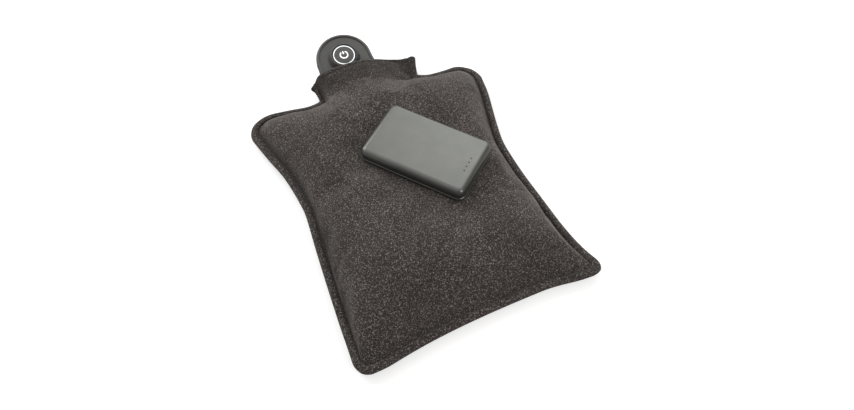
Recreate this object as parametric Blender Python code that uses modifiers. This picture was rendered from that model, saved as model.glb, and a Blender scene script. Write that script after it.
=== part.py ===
# Electric hot water bottle, lying on its back.
#
# A stuffed cloth bottle shape holds a heating wire. A paddle-shaped controller
# with one lit button stands out of its neck. The power bank that feeds it lies
# on the cover, as when it is taken out to be charged.
#
# Metres. +X runs across the bottle, +Y from its foot to its neck and +Z up from
# the table. The origin is in the middle of the footprint, on the table.

import math

import bmesh
import bpy
from mathutils import Matrix, Vector

# Cover: the cut shape of the cloth, over its seam allowance
body_length = 0.299
neck_length = 0.0235
shoulder_half_width = 0.128
waist_half_width = 0.1095
foot_half_width = 0.123
neck_half_width = 0.056
mouth_half_width = 0.061
waist_distance = 0.172
foot_corner_radius = 0.013
shoulder_corner_radius = 0.026
foot_edge_rise = 0.006
shoulder_edge_dip = 0.003
mouth_edge_dip = 0.002
side_curve_power = 1.3

# Cover: how far the real one lies askew, as shifts of its sides and of its middle
foot_side_shift = 0.0060
waist_side_shift = 0.0010
shoulder_side_shift = -0.0010
mouth_side_shift = 0.0080
shoulder_middle_shift = 0.0043
mouth_middle_shift = 0.0062
foot_skew = 0.0028
shoulder_skew = 0.0082
mouth_skew = 0.0050
neck_lift = 0.0016

# Cover: cloth and stuffing
cloth_thickness = 0.0022
seam_allowance = 0.009
seam_height = 0.009
mouth_seam_lift = 0.004
crown_height = 0.040
mouth_arch_height = 0.0345
side_roundness = 0.100
end_roundness = 0.105
back_roundness = 0.026
neck_fade_length = 0.095
neck_spread = 0.55
arch_peak_share = 0.38
arch_left_power = 0.30
arch_right_power = 1.1
plateau_blend = 0.0016
bank_sinking = 0.0037
bank_press_reach = 0.016
bank_press_fade = 0.035

# Clearances
seat_gap = 0.0003
cloth_gap = 0.0004
cut_overrun = 0.002
weld_distance = 0.00001

# Zip across the back
zip_share = 0.274
zip_half_length = 0.068
zip_slot_overrun = 0.0015
zip_end_taper = 0.009
zip_slot_half_width = 0.0053
zip_groove_depth = 0.004
zip_flat_reach = 0.011
zip_groove_reach = 0.020
zip_tape_width = 0.0082
zip_tape_thickness = 0.0006
zip_tape_inner_edge = 0.0021
zip_tooth_root = 0.0012
zip_tooth_height = 0.0022
zip_tooth_pitch = 0.0038
zip_row_half_gap = 0.0007
zip_stop_length = 0.003

# Zip slider and its pull
slider_length = 0.0095
slider_half_width = 0.0046
slider_nose_half_width = 0.0043
slider_plate_thickness = 0.0011
slider_edge_inset = 0.0007
slider_post_length = 0.0026
slider_post_thickness = 0.0008
bridge_window_half_length = 0.0023
bridge_foot_length = 0.0010
bridge_width = 0.0016
bridge_window_height = 0.0019
bridge_bar_thickness = 0.0007
pull_length = 0.024
pull_half_width = 0.0026
pull_thickness = 0.0009
pull_window_half_width = 0.0014
pull_window_length = 0.0040
slider_end_clearance = 0.0012

# Stuffing and heater
interface_height = 0.017
heater_layer = 0.0038
pad_edge_thickness = 0.0015
carrier_half_width = 0.072
carrier_foot_distance = 0.045
carrier_head_distance = 0.054
carrier_thickness = 0.0006
carrier_corner_radius = 0.012
wire_radius = 0.0006
wire_margin = 0.010
wire_run_count = 13
wire_bend_steps = 4
terminal_length = 0.012
terminal_width = 0.007
terminal_height = 0.0018
terminal_offset = 0.020
sensor_length = 0.006
sensor_width = 0.0035
sensor_height = 0.0018

# Battery pocket and the hollow it lies in
pocket_wall = 0.0009
pocket_slot = 0.0010
pocket_ease = 0.006
hollow_half_width = 0.087
hollow_height = 0.0102
hollow_margin = 0.006
hollow_head_room = 0.014

# Leads
supply_lead_radius = 0.00125
heater_lead_radius = 0.00095
lead_straight_run = 0.004
lead_point_spacing = 0.008
channel_half_width = 0.0045
channel_height = 0.0132
plug_overmould_length = 0.020
plug_overmould_width = 0.0108
plug_overmould_height = 0.0056
plug_overmould_radius = 0.0022
plug_shell_length = 0.0067
plug_shell_width = 0.0083
plug_shell_height = 0.0025
plug_distance = 0.0068

# Controller paddle, in its own frame: u across, v along, w out of its face
paddle_reach = 0.0461
head_radius = 0.0306
head_offset = -0.0063
head_height = 0.022
paddle_tilt_degrees = 12.9
paddle_flare_degrees = 4.0
paddle_tail = 0.044
paddle_tail_corner_radius = 0.020
paddle_back_depth = 0.0048
paddle_front_depth = 0.0050
paddle_edge_radius = 0.0022
paddle_edge_steps = 3
paddle_wall = 0.0020
paddle_roof = 0.0013
rim_width = 0.0030
dish_depth = 0.0013
boss_radius = 0.0176
boss_top_radius = 0.0146
boss_rise = 0.0058
boss_edge_radius = 0.0008
back_floor = 0.0016

# Power button, its light ring and its symbol
button_radius = 0.0132
button_gap = 0.0003
button_lip_width = 0.0012
button_lip_height = 0.0009
button_crown = 0.0004
button_plate = 0.0026
button_proud = 0.0001
button_edge_radius = 0.0006
ring_radius = 0.0113
ring_width = 0.0008
guide_depth = 0.0012
symbol_radius = 0.0041
symbol_line_width = 0.0012
symbol_bar_length = 0.0037
symbol_gap_degrees = 62.0
button_travel = 0.0006

# Controller board and what it carries
board_thickness = 0.0010
board_bottom = -0.0015
board_head_radius = 0.0185
board_tail_half_width = 0.0174
board_tail_end = 0.0335
switch_width = 0.0062
switch_height = 0.0012
switch_well_floor = 0.0003
stem_radius = 0.0017
stem_well_gap = 0.0004
led_count = 4
led_length = 0.0016
led_width = 0.0008
led_height = 0.0006
chip_width = 0.0050
chip_height = 0.0010
screw_boss_radius = 0.0034
screw_post_radius = 0.0030
screw_hole_radius = 0.0013
screw_shank_radius = 0.0010
screw_head_radius = 0.0019
screw_head_height = 0.0012
screw_head_recess = 0.0018
screw_head_sinking = 0.0003
screw_circle_radius = 0.0225
tail_screw_offset = 0.0215
tail_screw_distance = 0.029
standoff_radius = 0.0016
grommet_offset = 0.0080
grommet_neck_radius = 0.00195
grommet_flange_radius = 0.0032
grommet_flange_length = 0.0010
grommet_tip_radius = 0.0020
grommet_length = 0.014

# Power bank, in its own frame: a along, b across, c up
bank_length = 0.1125
bank_width = 0.0705
bank_height = 0.015
bank_offset_x = 0.021
bank_offset_from_waist = 0.0005
bank_turn_degrees = -50.7
bank_corner_radius = 0.0078
bank_side_height = 0.0066
bank_top_rounding = 0.0056
bank_bottom_edge_radius = 0.0024
bank_parting_height = 0.0046
bank_lip = 0.00035
bank_wall = 0.0018
bank_board_clearance = 0.0010
bank_board_bottom = 0.0034
bank_board_thickness = 0.0012
bank_spine_width = 0.010
bank_led_arm = 0.013
bank_port_arm = 0.018
bank_led_arm_reach = 0.046
cell_height = 0.0086
cell_edge_radius = 0.0012
cell_clearance = 0.0010
bank_post_radius = 0.0016
bank_dot_count = 4
bank_dot_spacing = 0.0052
bank_dot_inset = 0.0110
bank_dot_shift = -0.0014
bank_dot_radius = 0.0008
light_pipe_radius = 0.0005
usb_a_width = 0.0131
usb_a_height = 0.0057
usb_a_depth = 0.0140
usb_a_wall = 0.0004
usb_a_tongue_width = 0.0100
usb_a_tongue_thickness = 0.0018
usb_a_tongue_length = 0.0090
usb_a_shift = 0.0165
usb_c_width = 0.0089
usb_c_height = 0.0033
usb_c_depth = 0.0073
usb_c_wall = 0.0004
usb_c_tongue_width = 0.0062
usb_c_tongue_thickness = 0.0007
usb_c_tongue_length = 0.0046
usb_c_shift = -0.0060
port_gap = 0.0004
bank_button_length = 0.0090
bank_button_height = 0.0024
bank_button_proud = 0.0004
bank_button_lip = 0.0006
bank_button_lip_depth = 0.0008
bank_button_inset = 0.027
bank_button_travel = 0.0005
bank_switch_length = 0.0060
bank_switch_height = 0.0040

# Grid of each cloth panel: how its lines are shared out
neck_columns = 5
shoulder_columns = 5
neck_rows = 3
column_crowding = 1.5
lower_row_shares = (0.0, 0.15, 0.36, 0.64, 1.0)
upper_row_shares = (0.0, 0.10, 0.22, 0.34, 0.46, 0.58, 0.70, 0.81, 0.90, 0.96, 1.0)

# Everything below follows from the sizes above
overall_length = body_length + neck_length + paddle_reach
foot_y = (foot_skew - overall_length) / 2
waist_y = foot_y + waist_distance
shoulder_top_y = foot_y + body_length
mouth_y = shoulder_top_y + neck_length
zip_y = foot_y + zip_share * body_length
bank_y = waist_y + bank_offset_from_waist
paddle_tilt = math.radians(paddle_tilt_degrees)
paddle_flare = math.radians(paddle_flare_degrees)
paddle_reach_from_head = (head_radius * math.cos(paddle_tilt)
                          + (paddle_back_depth - paddle_edge_radius) * math.sin(paddle_tilt))
head_y = foot_y + overall_length - paddle_reach_from_head
half_seam_gap = seat_gap / 2
inner_columns = neck_columns + shoulder_columns
last_column = inner_columns + 1
row_shares_total = len(lower_row_shares) + len(upper_row_shares) + 3
stitch_top_row = row_shares_total
edge_top_row = stitch_top_row + 1
last_row = edge_top_row + neck_rows
zip_row = len(lower_row_shares) + 2
bank_underside = crown_height - bank_sinking
bank_dot_distance = bank_length / 2 - bank_dot_inset
bank_button_distance = bank_length / 2 - bank_button_inset
carrier_length = body_length - carrier_foot_distance - carrier_head_distance

part_name = "electric_hot_water_bottle"

for old_object in list(bpy.data.objects):
    bpy.data.objects.remove(old_object)

parts = bpy.data.collections.new(part_name)
cutters = bpy.data.collections.new("cutters")
bpy.context.scene.collection.children.link(parts)
bpy.context.scene.collection.children.link(cutters)


# Materials

def make_material(name, colour, roughness, metallic=0.0):
    material = bpy.data.materials.new(name)
    material.use_nodes = True
    shader = material.node_tree.nodes["Principled BSDF"]
    shader.inputs["Base Color"].default_value = (*colour, 1.0)
    shader.inputs["Roughness"].default_value = roughness
    shader.inputs["Metallic"].default_value = metallic
    material.diffuse_color = (*colour, 1.0)
    return material


felt = make_material("felt_cloth", (0.045, 0.038, 0.036), 0.95)
wadding = make_material("wadding", (0.085, 0.082, 0.078), 0.95)
lining = make_material("lining_cloth", (0.06, 0.06, 0.065), 0.9)
zip_cloth = make_material("zip_tape_cloth", (0.03, 0.03, 0.03), 0.9)
zip_metal = make_material("zip_metal", (0.12, 0.12, 0.13), 0.35, 1.0)
carrier_film = make_material("heater_film", (0.55, 0.30, 0.08), 0.5)
wire_alloy = make_material("wire_alloy", (0.60, 0.45, 0.30), 0.4, 1.0)
lead_rubber = make_material("lead_rubber", (0.02, 0.02, 0.02), 0.6)
plug_metal = make_material("plug_metal", (0.60, 0.60, 0.58), 0.3, 1.0)
controller_plastic = make_material("controller_plastic", (0.075, 0.074, 0.068), 0.5)
light_guide = make_material("light_guide", (0.92, 0.93, 0.92), 0.35)
board_green = make_material("circuit_board", (0.02, 0.12, 0.06), 0.45)
chip_black = make_material("chip_black", (0.02, 0.02, 0.022), 0.5)
led_white = make_material("led_white", (0.80, 0.80, 0.72), 0.4)
screw_steel = make_material("screw_steel", (0.50, 0.50, 0.50), 0.35, 1.0)
bank_plastic = make_material("bank_plastic", (0.235, 0.245, 0.225), 0.45)
cell_foil = make_material("cell_foil", (0.55, 0.56, 0.57), 0.4, 1.0)
tongue_plastic = make_material("tongue_plastic", (0.03, 0.03, 0.03), 0.5)


# Building blocks

def place(name, mesh, material, parent=None, location=(0, 0, 0), rotation=(0, 0, 0), cutter=False):
    # Puts a mesh into the model, or among the cutters
    piece = bpy.data.objects.new(name, mesh)
    piece.location = location
    piece.rotation_euler = rotation
    piece.parent = parent
    if cutter:
        cutters.objects.link(piece)
        piece.hide_render = True
        piece.display_type = "WIRE"
    else:
        parts.objects.link(piece)
        if material:
            mesh.materials.append(material)
    return piece


def place_copies(name, mesh, material, places, height, parent):
    # Like pieces that share one mesh, each at its own (x, y) place
    mesh.materials.append(material)
    for index, (x, y) in enumerate(places):
        place("%s_%d" % (name, index + 1), mesh, None, parent=parent, location=(x, y, height))


def make_frame(name, location, rotation):
    # An empty that carries the pieces of one assembly
    frame = bpy.data.objects.new(name, None)
    frame.location = location
    frame.rotation_euler = rotation
    parts.objects.link(frame)
    bpy.context.view_layer.update()
    return frame


def mesh_from(bm, name):
    mesh = bpy.data.meshes.new(name)
    bm.to_mesh(mesh)
    bm.free()
    return mesh


def boxes(name, spans):
    # Boxes given by their lowest and highest corners
    bm = bmesh.new()
    for low, high in spans:
        size = [top - bottom for bottom, top in zip(low, high)]
        middle = [(top + bottom) / 2 for bottom, top in zip(low, high)]
        matrix = Matrix.Translation(middle) @ Matrix.Diagonal((*size, 1))
        bmesh.ops.create_cube(bm, size=1, matrix=matrix)
    return mesh_from(bm, name)


def cylinders(name, places, radius, low, high, segments=14):
    # Upright cylinders standing at (x, y) places
    bm = bmesh.new()
    for x, y in places:
        matrix = Matrix.Translation((x, y, (low + high) / 2))
        bmesh.ops.create_cone(bm, cap_ends=True, segments=segments, radius1=radius, radius2=radius,
                              depth=high - low, matrix=matrix)
    return mesh_from(bm, name)


def flat_solid(name, loops, low, high):
    # A flat outline, with any holes as further loops, as thick as from low to high
    curve = bpy.data.curves.new(name, "CURVE")
    curve.dimensions = "2D"
    curve.fill_mode = "BOTH"
    curve.extrude = (high - low) / 2
    for loop in loops:
        spline = curve.splines.new("POLY")
        spline.points.add(len(loop) - 1)
        for point, (x, y) in zip(spline.points, loop):
            point.co = (x, y, 0, 1)
        spline.use_cyclic_u = True
    outline = bpy.data.objects.new(name, curve)
    parts.objects.link(outline)
    depsgraph = bpy.context.evaluated_depsgraph_get()
    mesh = bpy.data.meshes.new_from_object(outline.evaluated_get(depsgraph))
    bpy.data.objects.remove(outline)
    bm = bmesh.new()
    bm.from_mesh(mesh)
    bmesh.ops.remove_doubles(bm, verts=bm.verts, dist=weld_distance)
    bmesh.ops.translate(bm, verts=bm.verts, vec=(0, 0, (low + high) / 2))
    bmesh.ops.recalc_face_normals(bm, faces=bm.faces)
    bm.to_mesh(mesh)
    bm.free()
    return mesh


def stacked(name, rings):
    # A closed solid through a stack of like outlines, each with its height, from the bottom up
    bm = bmesh.new()
    layers = [[bm.verts.new((x, y, height)) for x, y in loop] for loop, height in rings]
    count = len(layers[0])
    for low, high in zip(layers, layers[1:]):
        for index in range(count):
            after = (index + 1) % count
            bm.faces.new((low[index], low[after], high[after], high[index]))
    bm.faces.new(reversed(layers[0]))
    bm.faces.new(layers[-1])
    bmesh.ops.recalc_face_normals(bm, faces=bm.faces)
    return mesh_from(bm, name)


def rounding(inset, height, steps):
    # Insets and rises of a quarter ellipse that rounds an edge, from its side to its top
    turns = [math.pi / 2 * step / steps for step in range(steps + 1)]
    return [(inset * (1 - math.cos(turn)), height * math.sin(turn)) for turn in turns]


def turned(name, profile, steps=48, closed=False):
    # A profile of (radius, height) points, from the top down its outer side
    mesh = bpy.data.meshes.new(name)
    points = [(radius, 0, height) for radius, height in profile]
    edges = [(index, index + 1) for index in range(len(points) - 1)]
    if closed:
        edges.append((len(points) - 1, 0))
    mesh.from_pydata(points, edges, [])
    return mesh, steps


def screw(piece, steps):
    modifier = piece.modifiers.new("turn", "SCREW")
    modifier.steps = steps
    modifier.render_steps = steps
    modifier.use_merge_vertices = True
    modifier.merge_threshold = weld_distance
    modifier.use_smooth_shade = True


def cut(piece, cutter, operation="DIFFERENCE"):
    modifier = piece.modifiers.new(operation.lower(), "BOOLEAN")
    modifier.operation = operation
    modifier.solver = "EXACT"
    modifier.object = cutter


def bevel(piece, width, segments=2, angle_degrees=35.0):
    modifier = piece.modifiers.new("edges", "BEVEL")
    modifier.width = width
    modifier.segments = segments
    modifier.limit_method = "ANGLE"
    modifier.angle_limit = math.radians(angle_degrees)
    modifier.use_clamp_overlap = True


def smooth(piece, angle_degrees=40.0):
    piece.data.shade_smooth()
    piece.data.set_sharp_from_angle(angle=math.radians(angle_degrees))


def arc(centre, radius, start_degrees, end_degrees, steps):
    # Points on an arc, both ends included
    points = []
    for step in range(steps + 1):
        angle = math.radians(start_degrees + (end_degrees - start_degrees) * step / steps)
        points.append((centre[0] + radius * math.cos(angle), centre[1] + radius * math.sin(angle)))
    return points


def circle(radius, steps, centre=(0, 0)):
    return arc(centre, radius, 0, 360, steps)[:-1]


def rounded_rectangle(half_length, half_width, radius, steps=5, centre=(0, 0)):
    x, y = centre
    inner_x = half_length - radius
    inner_y = half_width - radius
    points = arc((x + inner_x, y + inner_y), radius, 0, 90, steps)
    points += arc((x - inner_x, y + inner_y), radius, 90, 180, steps)
    points += arc((x - inner_x, y - inner_y), radius, 180, 270, steps)
    points += arc((x + inner_x, y - inner_y), radius, 270, 360, steps)
    return points


def smooth_route(points, spacing):
    # Points at even spacing on a smooth curve through the given ones
    corners = [Vector(point) for point in points]
    first = corners[0] * 2 - corners[1]
    last = corners[-1] * 2 - corners[-2]
    chain = [first, *corners, last]
    route = []
    for index in range(1, len(chain) - 2):
        before, start, end, after = chain[index - 1:index + 3]
        steps = max(1, round((end - start).length / spacing))
        for step in range(steps):
            t = step / steps
            route.append(0.5 * (2 * start + (end - before) * t
                                + (2 * before - 5 * start + 4 * end - after) * t * t
                                + (3 * start - before - 3 * end + after) * t * t * t))
    route.append(corners[-1])
    return route


def tube(name, points, radius, material, resolution=2, parent=None):
    # A round wire or lead along its points
    curve = bpy.data.curves.new(name, "CURVE")
    curve.dimensions = "3D"
    curve.bevel_depth = radius
    curve.bevel_resolution = resolution
    curve.use_fill_caps = True
    spline = curve.splines.new("POLY")
    spline.points.add(len(points) - 1)
    for target, point in zip(spline.points, points):
        target.co = (*point, 1)
    piece = bpy.data.objects.new(name, curve)
    piece.parent = parent
    curve.materials.append(material)
    parts.objects.link(piece)
    return piece


# Shape of the cover: where its edge runs, inset by a seam allowance or not

def edge_half_width(y, inset):
    # Half width of the bottle at y, the corners rounded
    foot_centre = foot_y + foot_corner_radius
    shoulder_centre = shoulder_top_y - shoulder_corner_radius
    if y < foot_centre:
        radius = foot_corner_radius - inset
        reach = max(radius ** 2 - (foot_centre - y) ** 2, 0)
        return foot_half_width - foot_corner_radius + math.sqrt(reach)
    if y > shoulder_centre:
        radius = shoulder_corner_radius - inset
        reach = max(radius ** 2 - (y - shoulder_centre) ** 2, 0)
        return shoulder_half_width - shoulder_corner_radius + math.sqrt(reach)
    if y < waist_y:
        share = (waist_y - y) / (waist_y - foot_centre)
        widest = foot_half_width
    else:
        share = (y - waist_y) / (shoulder_centre - waist_y)
        widest = shoulder_half_width
    return waist_half_width + (widest - waist_half_width) * share ** side_curve_power - inset


def foot_edge(x, inset):
    # Height of the foot's edge at x, drawn in between its corners
    straight = foot_half_width - foot_corner_radius
    if abs(x) <= straight:
        return foot_y + inset + foot_edge_rise * (1 - (x / straight) ** 2)
    radius = foot_corner_radius - inset
    reach = max(radius ** 2 - (abs(x) - straight) ** 2, 0)
    return foot_y + foot_corner_radius - math.sqrt(reach)


def shoulder_edge(x, inset):
    # Height of the shoulders' edge at x, with a slight dip beside the neck
    straight = shoulder_half_width - shoulder_corner_radius
    neck = neck_half_width - inset
    if abs(x) <= neck:
        return shoulder_top_y - inset
    if abs(x) <= straight:
        share = (abs(x) - neck) / (straight - neck)
        return shoulder_top_y - inset - shoulder_edge_dip * math.sin(math.pi * share)
    radius = shoulder_corner_radius - inset
    reach = max(radius ** 2 - (abs(x) - straight) ** 2, 0)
    return shoulder_top_y - shoulder_corner_radius + math.sqrt(reach)


def neck_edge(y, inset):
    # Half width of the neck, flared to its mouth
    share = min(max((y - shoulder_top_y) / neck_length, 0), 1)
    return neck_half_width + (mouth_half_width - neck_half_width) * share ** side_curve_power - inset


def corner_middle(half_width, centre_y, radius, inset, upward):
    # The middle of a corner's arc
    reach = (radius - inset) * math.sqrt(0.5)
    return half_width - radius + reach, centre_y + upward * reach


# Grid of a cloth panel: columns and rows become places on the cover

def column_share(column):
    # Columns crowd towards the sides, where the stuffing curves most
    return 1 - (1 - column / inner_columns) ** column_crowding


def row_heights():
    # Rows on the centre line, from the foot's stitching to the shoulders' stitching
    low = foot_edge(0, seam_allowance)
    high = shoulder_top_y - seam_allowance
    zip_low = zip_y - zip_groove_reach
    zip_high = zip_y + zip_groove_reach
    rows = [low + (zip_low - low) * share for share in lower_row_shares]
    rows += [zip_y - zip_flat_reach, zip_y, zip_y + zip_flat_reach]
    rows += [zip_high + (high - zip_high) * share for share in upper_row_shares]
    return rows


def panel_place(column, row):
    # Place in x and y of a grid point on the right half
    rows = row_heights()
    foot_corner = corner_middle(foot_half_width, foot_y + foot_corner_radius,
                                foot_corner_radius, seam_allowance, -1)
    shoulder_corner = corner_middle(shoulder_half_width, shoulder_top_y - shoulder_corner_radius,
                                    shoulder_corner_radius, seam_allowance, 1)
    if row > edge_top_row:
        y = shoulder_top_y + neck_length * (row - edge_top_row) / neck_rows
        if column <= neck_columns:
            x = neck_edge(y, seam_allowance) * column / neck_columns
            sag = mouth_edge_dip * (row - edge_top_row) / neck_rows
            return x, y - sag * (1 - (column / neck_columns) ** 2)
        return neck_edge(y, 0), y
    if column == last_column and row in (0, edge_top_row):
        if row == 0:
            return corner_middle(foot_half_width, foot_y + foot_corner_radius,
                                 foot_corner_radius, 0, -1)
        return corner_middle(shoulder_half_width, shoulder_top_y - shoulder_corner_radius,
                             shoulder_corner_radius, 0, 1)
    if column == last_column:
        y = panel_place(inner_columns, row)[1]
        return edge_half_width(y, 0), y
    if row == 0:
        x = panel_place(column, 1)[0]
        return x, foot_edge(x, 0)
    if row == edge_top_row:
        if column <= neck_columns:
            return neck_edge(shoulder_top_y, seam_allowance) * column / neck_columns, shoulder_top_y
        if column == neck_columns + 1:
            return neck_half_width, shoulder_top_y
        x = panel_place(column, stitch_top_row)[0]
        return x, shoulder_edge(x, 0)
    across = column_share(column)
    up = (rows[row - 1] - rows[0]) / (rows[-1] - rows[0])
    foot_x = foot_corner[0] * across
    foot_point = (foot_x, foot_edge(foot_x, seam_allowance))
    neck_inner = neck_half_width - seam_allowance
    if column <= neck_columns:
        top_x = neck_inner * column / neck_columns
    else:
        share = (column - neck_columns) / shoulder_columns
        top_x = neck_inner + (shoulder_corner[0] - neck_inner) * share
    top_point = (top_x, shoulder_edge(top_x, seam_allowance))
    side_y = foot_corner[1] + (shoulder_corner[1] - foot_corner[1]) * up
    side_point = (edge_half_width(side_y, seam_allowance), side_y)
    if zip_row - 2 <= row <= zip_row + 2:
        y = rows[row - 1]
        return edge_half_width(y, seam_allowance) * across, y
    x = ((1 - up) * foot_point[0] + up * top_point[0] + across * side_point[0]
         - across * ((1 - up) * foot_corner[0] + up * shoulder_corner[0]))
    y = ((1 - up) * foot_point[1] + up * top_point[1]
         + (1 - across) * rows[row - 1] + across * side_point[1]
         - (1 - across) * ((1 - up) * rows[0] + up * rows[-1])
         - across * ((1 - up) * foot_corner[1] + up * shoulder_corner[1]))
    return x, y


def on_flange(column, row):
    # True in the seam allowance, outside the stitching
    if row > stitch_top_row:
        return column > neck_columns
    return column == last_column or row == 0


def on_stitching(column, row):
    # True on the line of stitching itself
    if row > stitch_top_row:
        return column == neck_columns
    if row == stitch_top_row:
        return neck_columns <= column <= inner_columns
    return (column == inner_columns and row >= 1) or (row == 1 and column <= inner_columns)


# Height of the cover's inner faces

def seam_level(y):
    # The seam lies level, and lifts a little towards the mouth
    share = min(max((y - shoulder_top_y) / neck_length, 0), 1)
    return seam_height + mouth_seam_lift * share


def swell(distance, reach, power, root):
    # From 0 at the stitching to 1 at its full height, a reach away
    share = min(max(distance / reach, 0), 1)
    return (1 - (1 - share) ** power) ** root


def smooth_share(value):
    # From 0 to 1 with soft ends
    share = min(max(value, 0), 1)
    return share * share * (3 - 2 * share)


def leaned(x, y):
    # Where a point of the cut shape comes to lie: the sides shift and the ends skew
    stations = [(foot_y, foot_side_shift, 0, foot_skew), (waist_y, waist_side_shift, 0, 0),
                (shoulder_top_y - seam_allowance, shoulder_side_shift, shoulder_middle_shift, -shoulder_skew),
                (mouth_y, mouth_side_shift, mouth_middle_shift, -mouth_skew)]
    nearest = min(max(y, foot_y), mouth_y)
    for low, high in zip(stations, stations[1:]):
        if low[0] <= nearest <= high[0]:
            share = smooth_share((nearest - low[0]) / (high[0] - low[0]))
            side_shift, middle_shift, skew = [low[index] + (high[index] - low[index]) * share
                                              for index in (1, 2, 3)]
    beside = x / waist_half_width
    outward = min(beside ** 2, 1)
    beside_neck = 1 - smooth_share((abs(x) - mouth_half_width) / (2 * seam_allowance))
    lift = neck_lift * smooth_share((y - shoulder_top_y) / (2 * seam_allowance) + 1) * beside_neck
    return (x + side_shift * outward + middle_shift * (1 - outward),
            y + skew * beside * outward + lift)


def edge_distances(x, y):
    # Rough distances to the side, the foot and the shoulder stitching
    side = edge_half_width(y, seam_allowance) - abs(x)
    foot = y - foot_edge(x, seam_allowance)
    shoulder = shoulder_edge(x, seam_allowance) - y
    return side, foot, shoulder


def neck_swell(x, y):
    # The neck's arch, steep on its left and gentle on its right, which fades into the body
    depth = max(shoulder_top_y - seam_allowance - y, 0)
    half_width = neck_edge(y, seam_allowance) + neck_spread * depth
    if abs(x) >= half_width or depth >= neck_fade_length:
        return 0
    faded = depth / neck_fade_length
    lean = math.log(0.5) / math.log(arch_peak_share)
    across = 2 * ((x / half_width + 1) / 2) ** lean - 1
    power = arch_left_power if across < 0 else arch_right_power
    power += (arch_left_power - power) * smooth_share(1.5 * faded)
    return (1 - faded ** 1.5) * (1 - across ** 2) ** power


def joined(first, second, power=3):
    # A smooth greater-of-the-two
    return (first ** power + second ** power) ** (1 / power)


def bank_relief(x, y):
    # How far the cloth may rise above the bank's underside, from nothing near it
    turn = math.radians(bank_turn_degrees)
    along = (x - bank_offset_x) * math.cos(turn) + (y - bank_y) * math.sin(turn)
    across = (y - bank_y) * math.cos(turn) - (x - bank_offset_x) * math.sin(turn)
    outside = math.hypot(max(abs(along) - bank_length / 2, 0), max(abs(across) - bank_width / 2, 0))
    return bank_sinking * smooth_share((outside - bank_press_reach) / bank_press_fade)


def front_inner_height(x, y):
    # Inner face of the front panel, away from its seam allowance
    side, foot, shoulder = edge_distances(x, y)
    base = seam_level(y) + half_seam_gap
    body = (crown_height - cloth_thickness - seam_height) * swell(side, side_roundness, 3, 0.5)
    body *= swell(foot, end_roundness, 3, 0.5) * swell(shoulder, end_roundness, 3, 0.5)
    neck_rise = mouth_arch_height - cloth_thickness - seam_level(y)
    neck = neck_rise * neck_swell(x, y)
    height = base + joined(body, neck)
    plateau = bank_underside - seat_gap - cloth_thickness + bank_relief(x, y)
    knee = plateau - plateau_blend
    if height > knee:
        height = knee + plateau_blend * math.tanh((height - knee) / plateau_blend)
    return height


def back_inner_height(x, y):
    # Inner face of the back panel, flat where the bottle rests on it
    side, foot, shoulder = edge_distances(x, y)
    body = swell(side, back_roundness, 2, 0.5) * swell(foot, back_roundness, 2, 0.5)
    body *= swell(shoulder, back_roundness, 2, 0.5)
    neck_side = neck_edge(y, seam_allowance) - abs(x)
    depth = max(shoulder_top_y - seam_allowance - y, 0)
    neck = swell(neck_side, back_roundness, 2, 0.5) * swell(back_roundness - depth, back_roundness, 2, 0.5)
    share = min(joined(body, neck), 1)
    top = seam_level(y) - half_seam_gap
    height = top + (cloth_thickness - top) * share
    groove = min(max((zip_groove_reach - abs(y - zip_y)) / (zip_groove_reach - zip_flat_reach), 0), 1)
    return min(height + zip_groove_depth * groove, top)


def panel_sheet(side):
    # The inner face of a panel as an open sheet, its grid kept in two layers
    bm = bmesh.new()
    bmesh.ops.create_grid(bm, x_segments=2 * last_column, y_segments=last_row, size=1)
    column_layer = bm.verts.layers.int.new("column")
    row_layer = bm.verts.layers.int.new("row")
    for vertex in bm.verts:
        column = round(vertex.co.x * last_column)
        row = round((vertex.co.y + 1) / 2 * last_row)
        vertex[column_layer] = column
        vertex[row_layer] = row
    beside_neck = [vertex for vertex in bm.verts
                   if vertex[row_layer] > edge_top_row and abs(vertex[column_layer]) > neck_columns + 1]
    bmesh.ops.delete(bm, geom=beside_neck, context="VERTS")
    for vertex in bm.verts:
        column = abs(vertex[column_layer])
        row = vertex[row_layer]
        x, y = panel_place(column, row)
        x = math.copysign(x, vertex[column_layer])
        flat = on_flange(column, row) or on_stitching(column, row)
        if side == "front":
            z = seam_level(y) + half_seam_gap if flat else front_inner_height(x, y)
        else:
            z = seam_level(y) - half_seam_gap if flat else back_inner_height(x, y)
        vertex.co = (*leaned(x, y), z)
    bm.normal_update()
    return bm, column_layer, row_layer


def solidify(piece, thickness, offset):
    modifier = piece.modifiers.new("thickness", "SOLIDIFY")
    modifier.thickness = thickness
    modifier.offset = offset
    modifier.use_even_offset = True
    modifier.use_quality_normals = True


# Cover

def add_cover_front():
    bm = panel_sheet("front")[0]
    piece = place("cover_front", mesh_from(bm, "cover_front"), felt)
    solidify(piece, cloth_thickness, 1)
    smooth(piece, 60)


def open_slot(bm, column_layer, row_layer, direction):
    # Draws a back panel's edge away from the zip, or just clear of the other panel
    for vertex in bm.verts:
        if vertex[row_layer] != zip_row:
            continue
        reach = zip_half_length + zip_slot_overrun + zip_end_taper
        share = (reach - abs(vertex.co.x)) / zip_end_taper
        share = min(max(share, 0), 1)
        vertex.co.y += direction * (half_seam_gap + (zip_slot_half_width - half_seam_gap) * share)


def add_back_panel(name, direction):
    bm, column_layer, row_layer = panel_sheet("back")
    other_side = [vertex for vertex in bm.verts if direction * (vertex[row_layer] - zip_row) < 0]
    bmesh.ops.delete(bm, geom=other_side, context="VERTS")
    open_slot(bm, column_layer, row_layer, direction)
    piece = place(name, mesh_from(bm, name), felt)
    solidify(piece, cloth_thickness, -1)
    smooth(piece, 60)


# Zip

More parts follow.
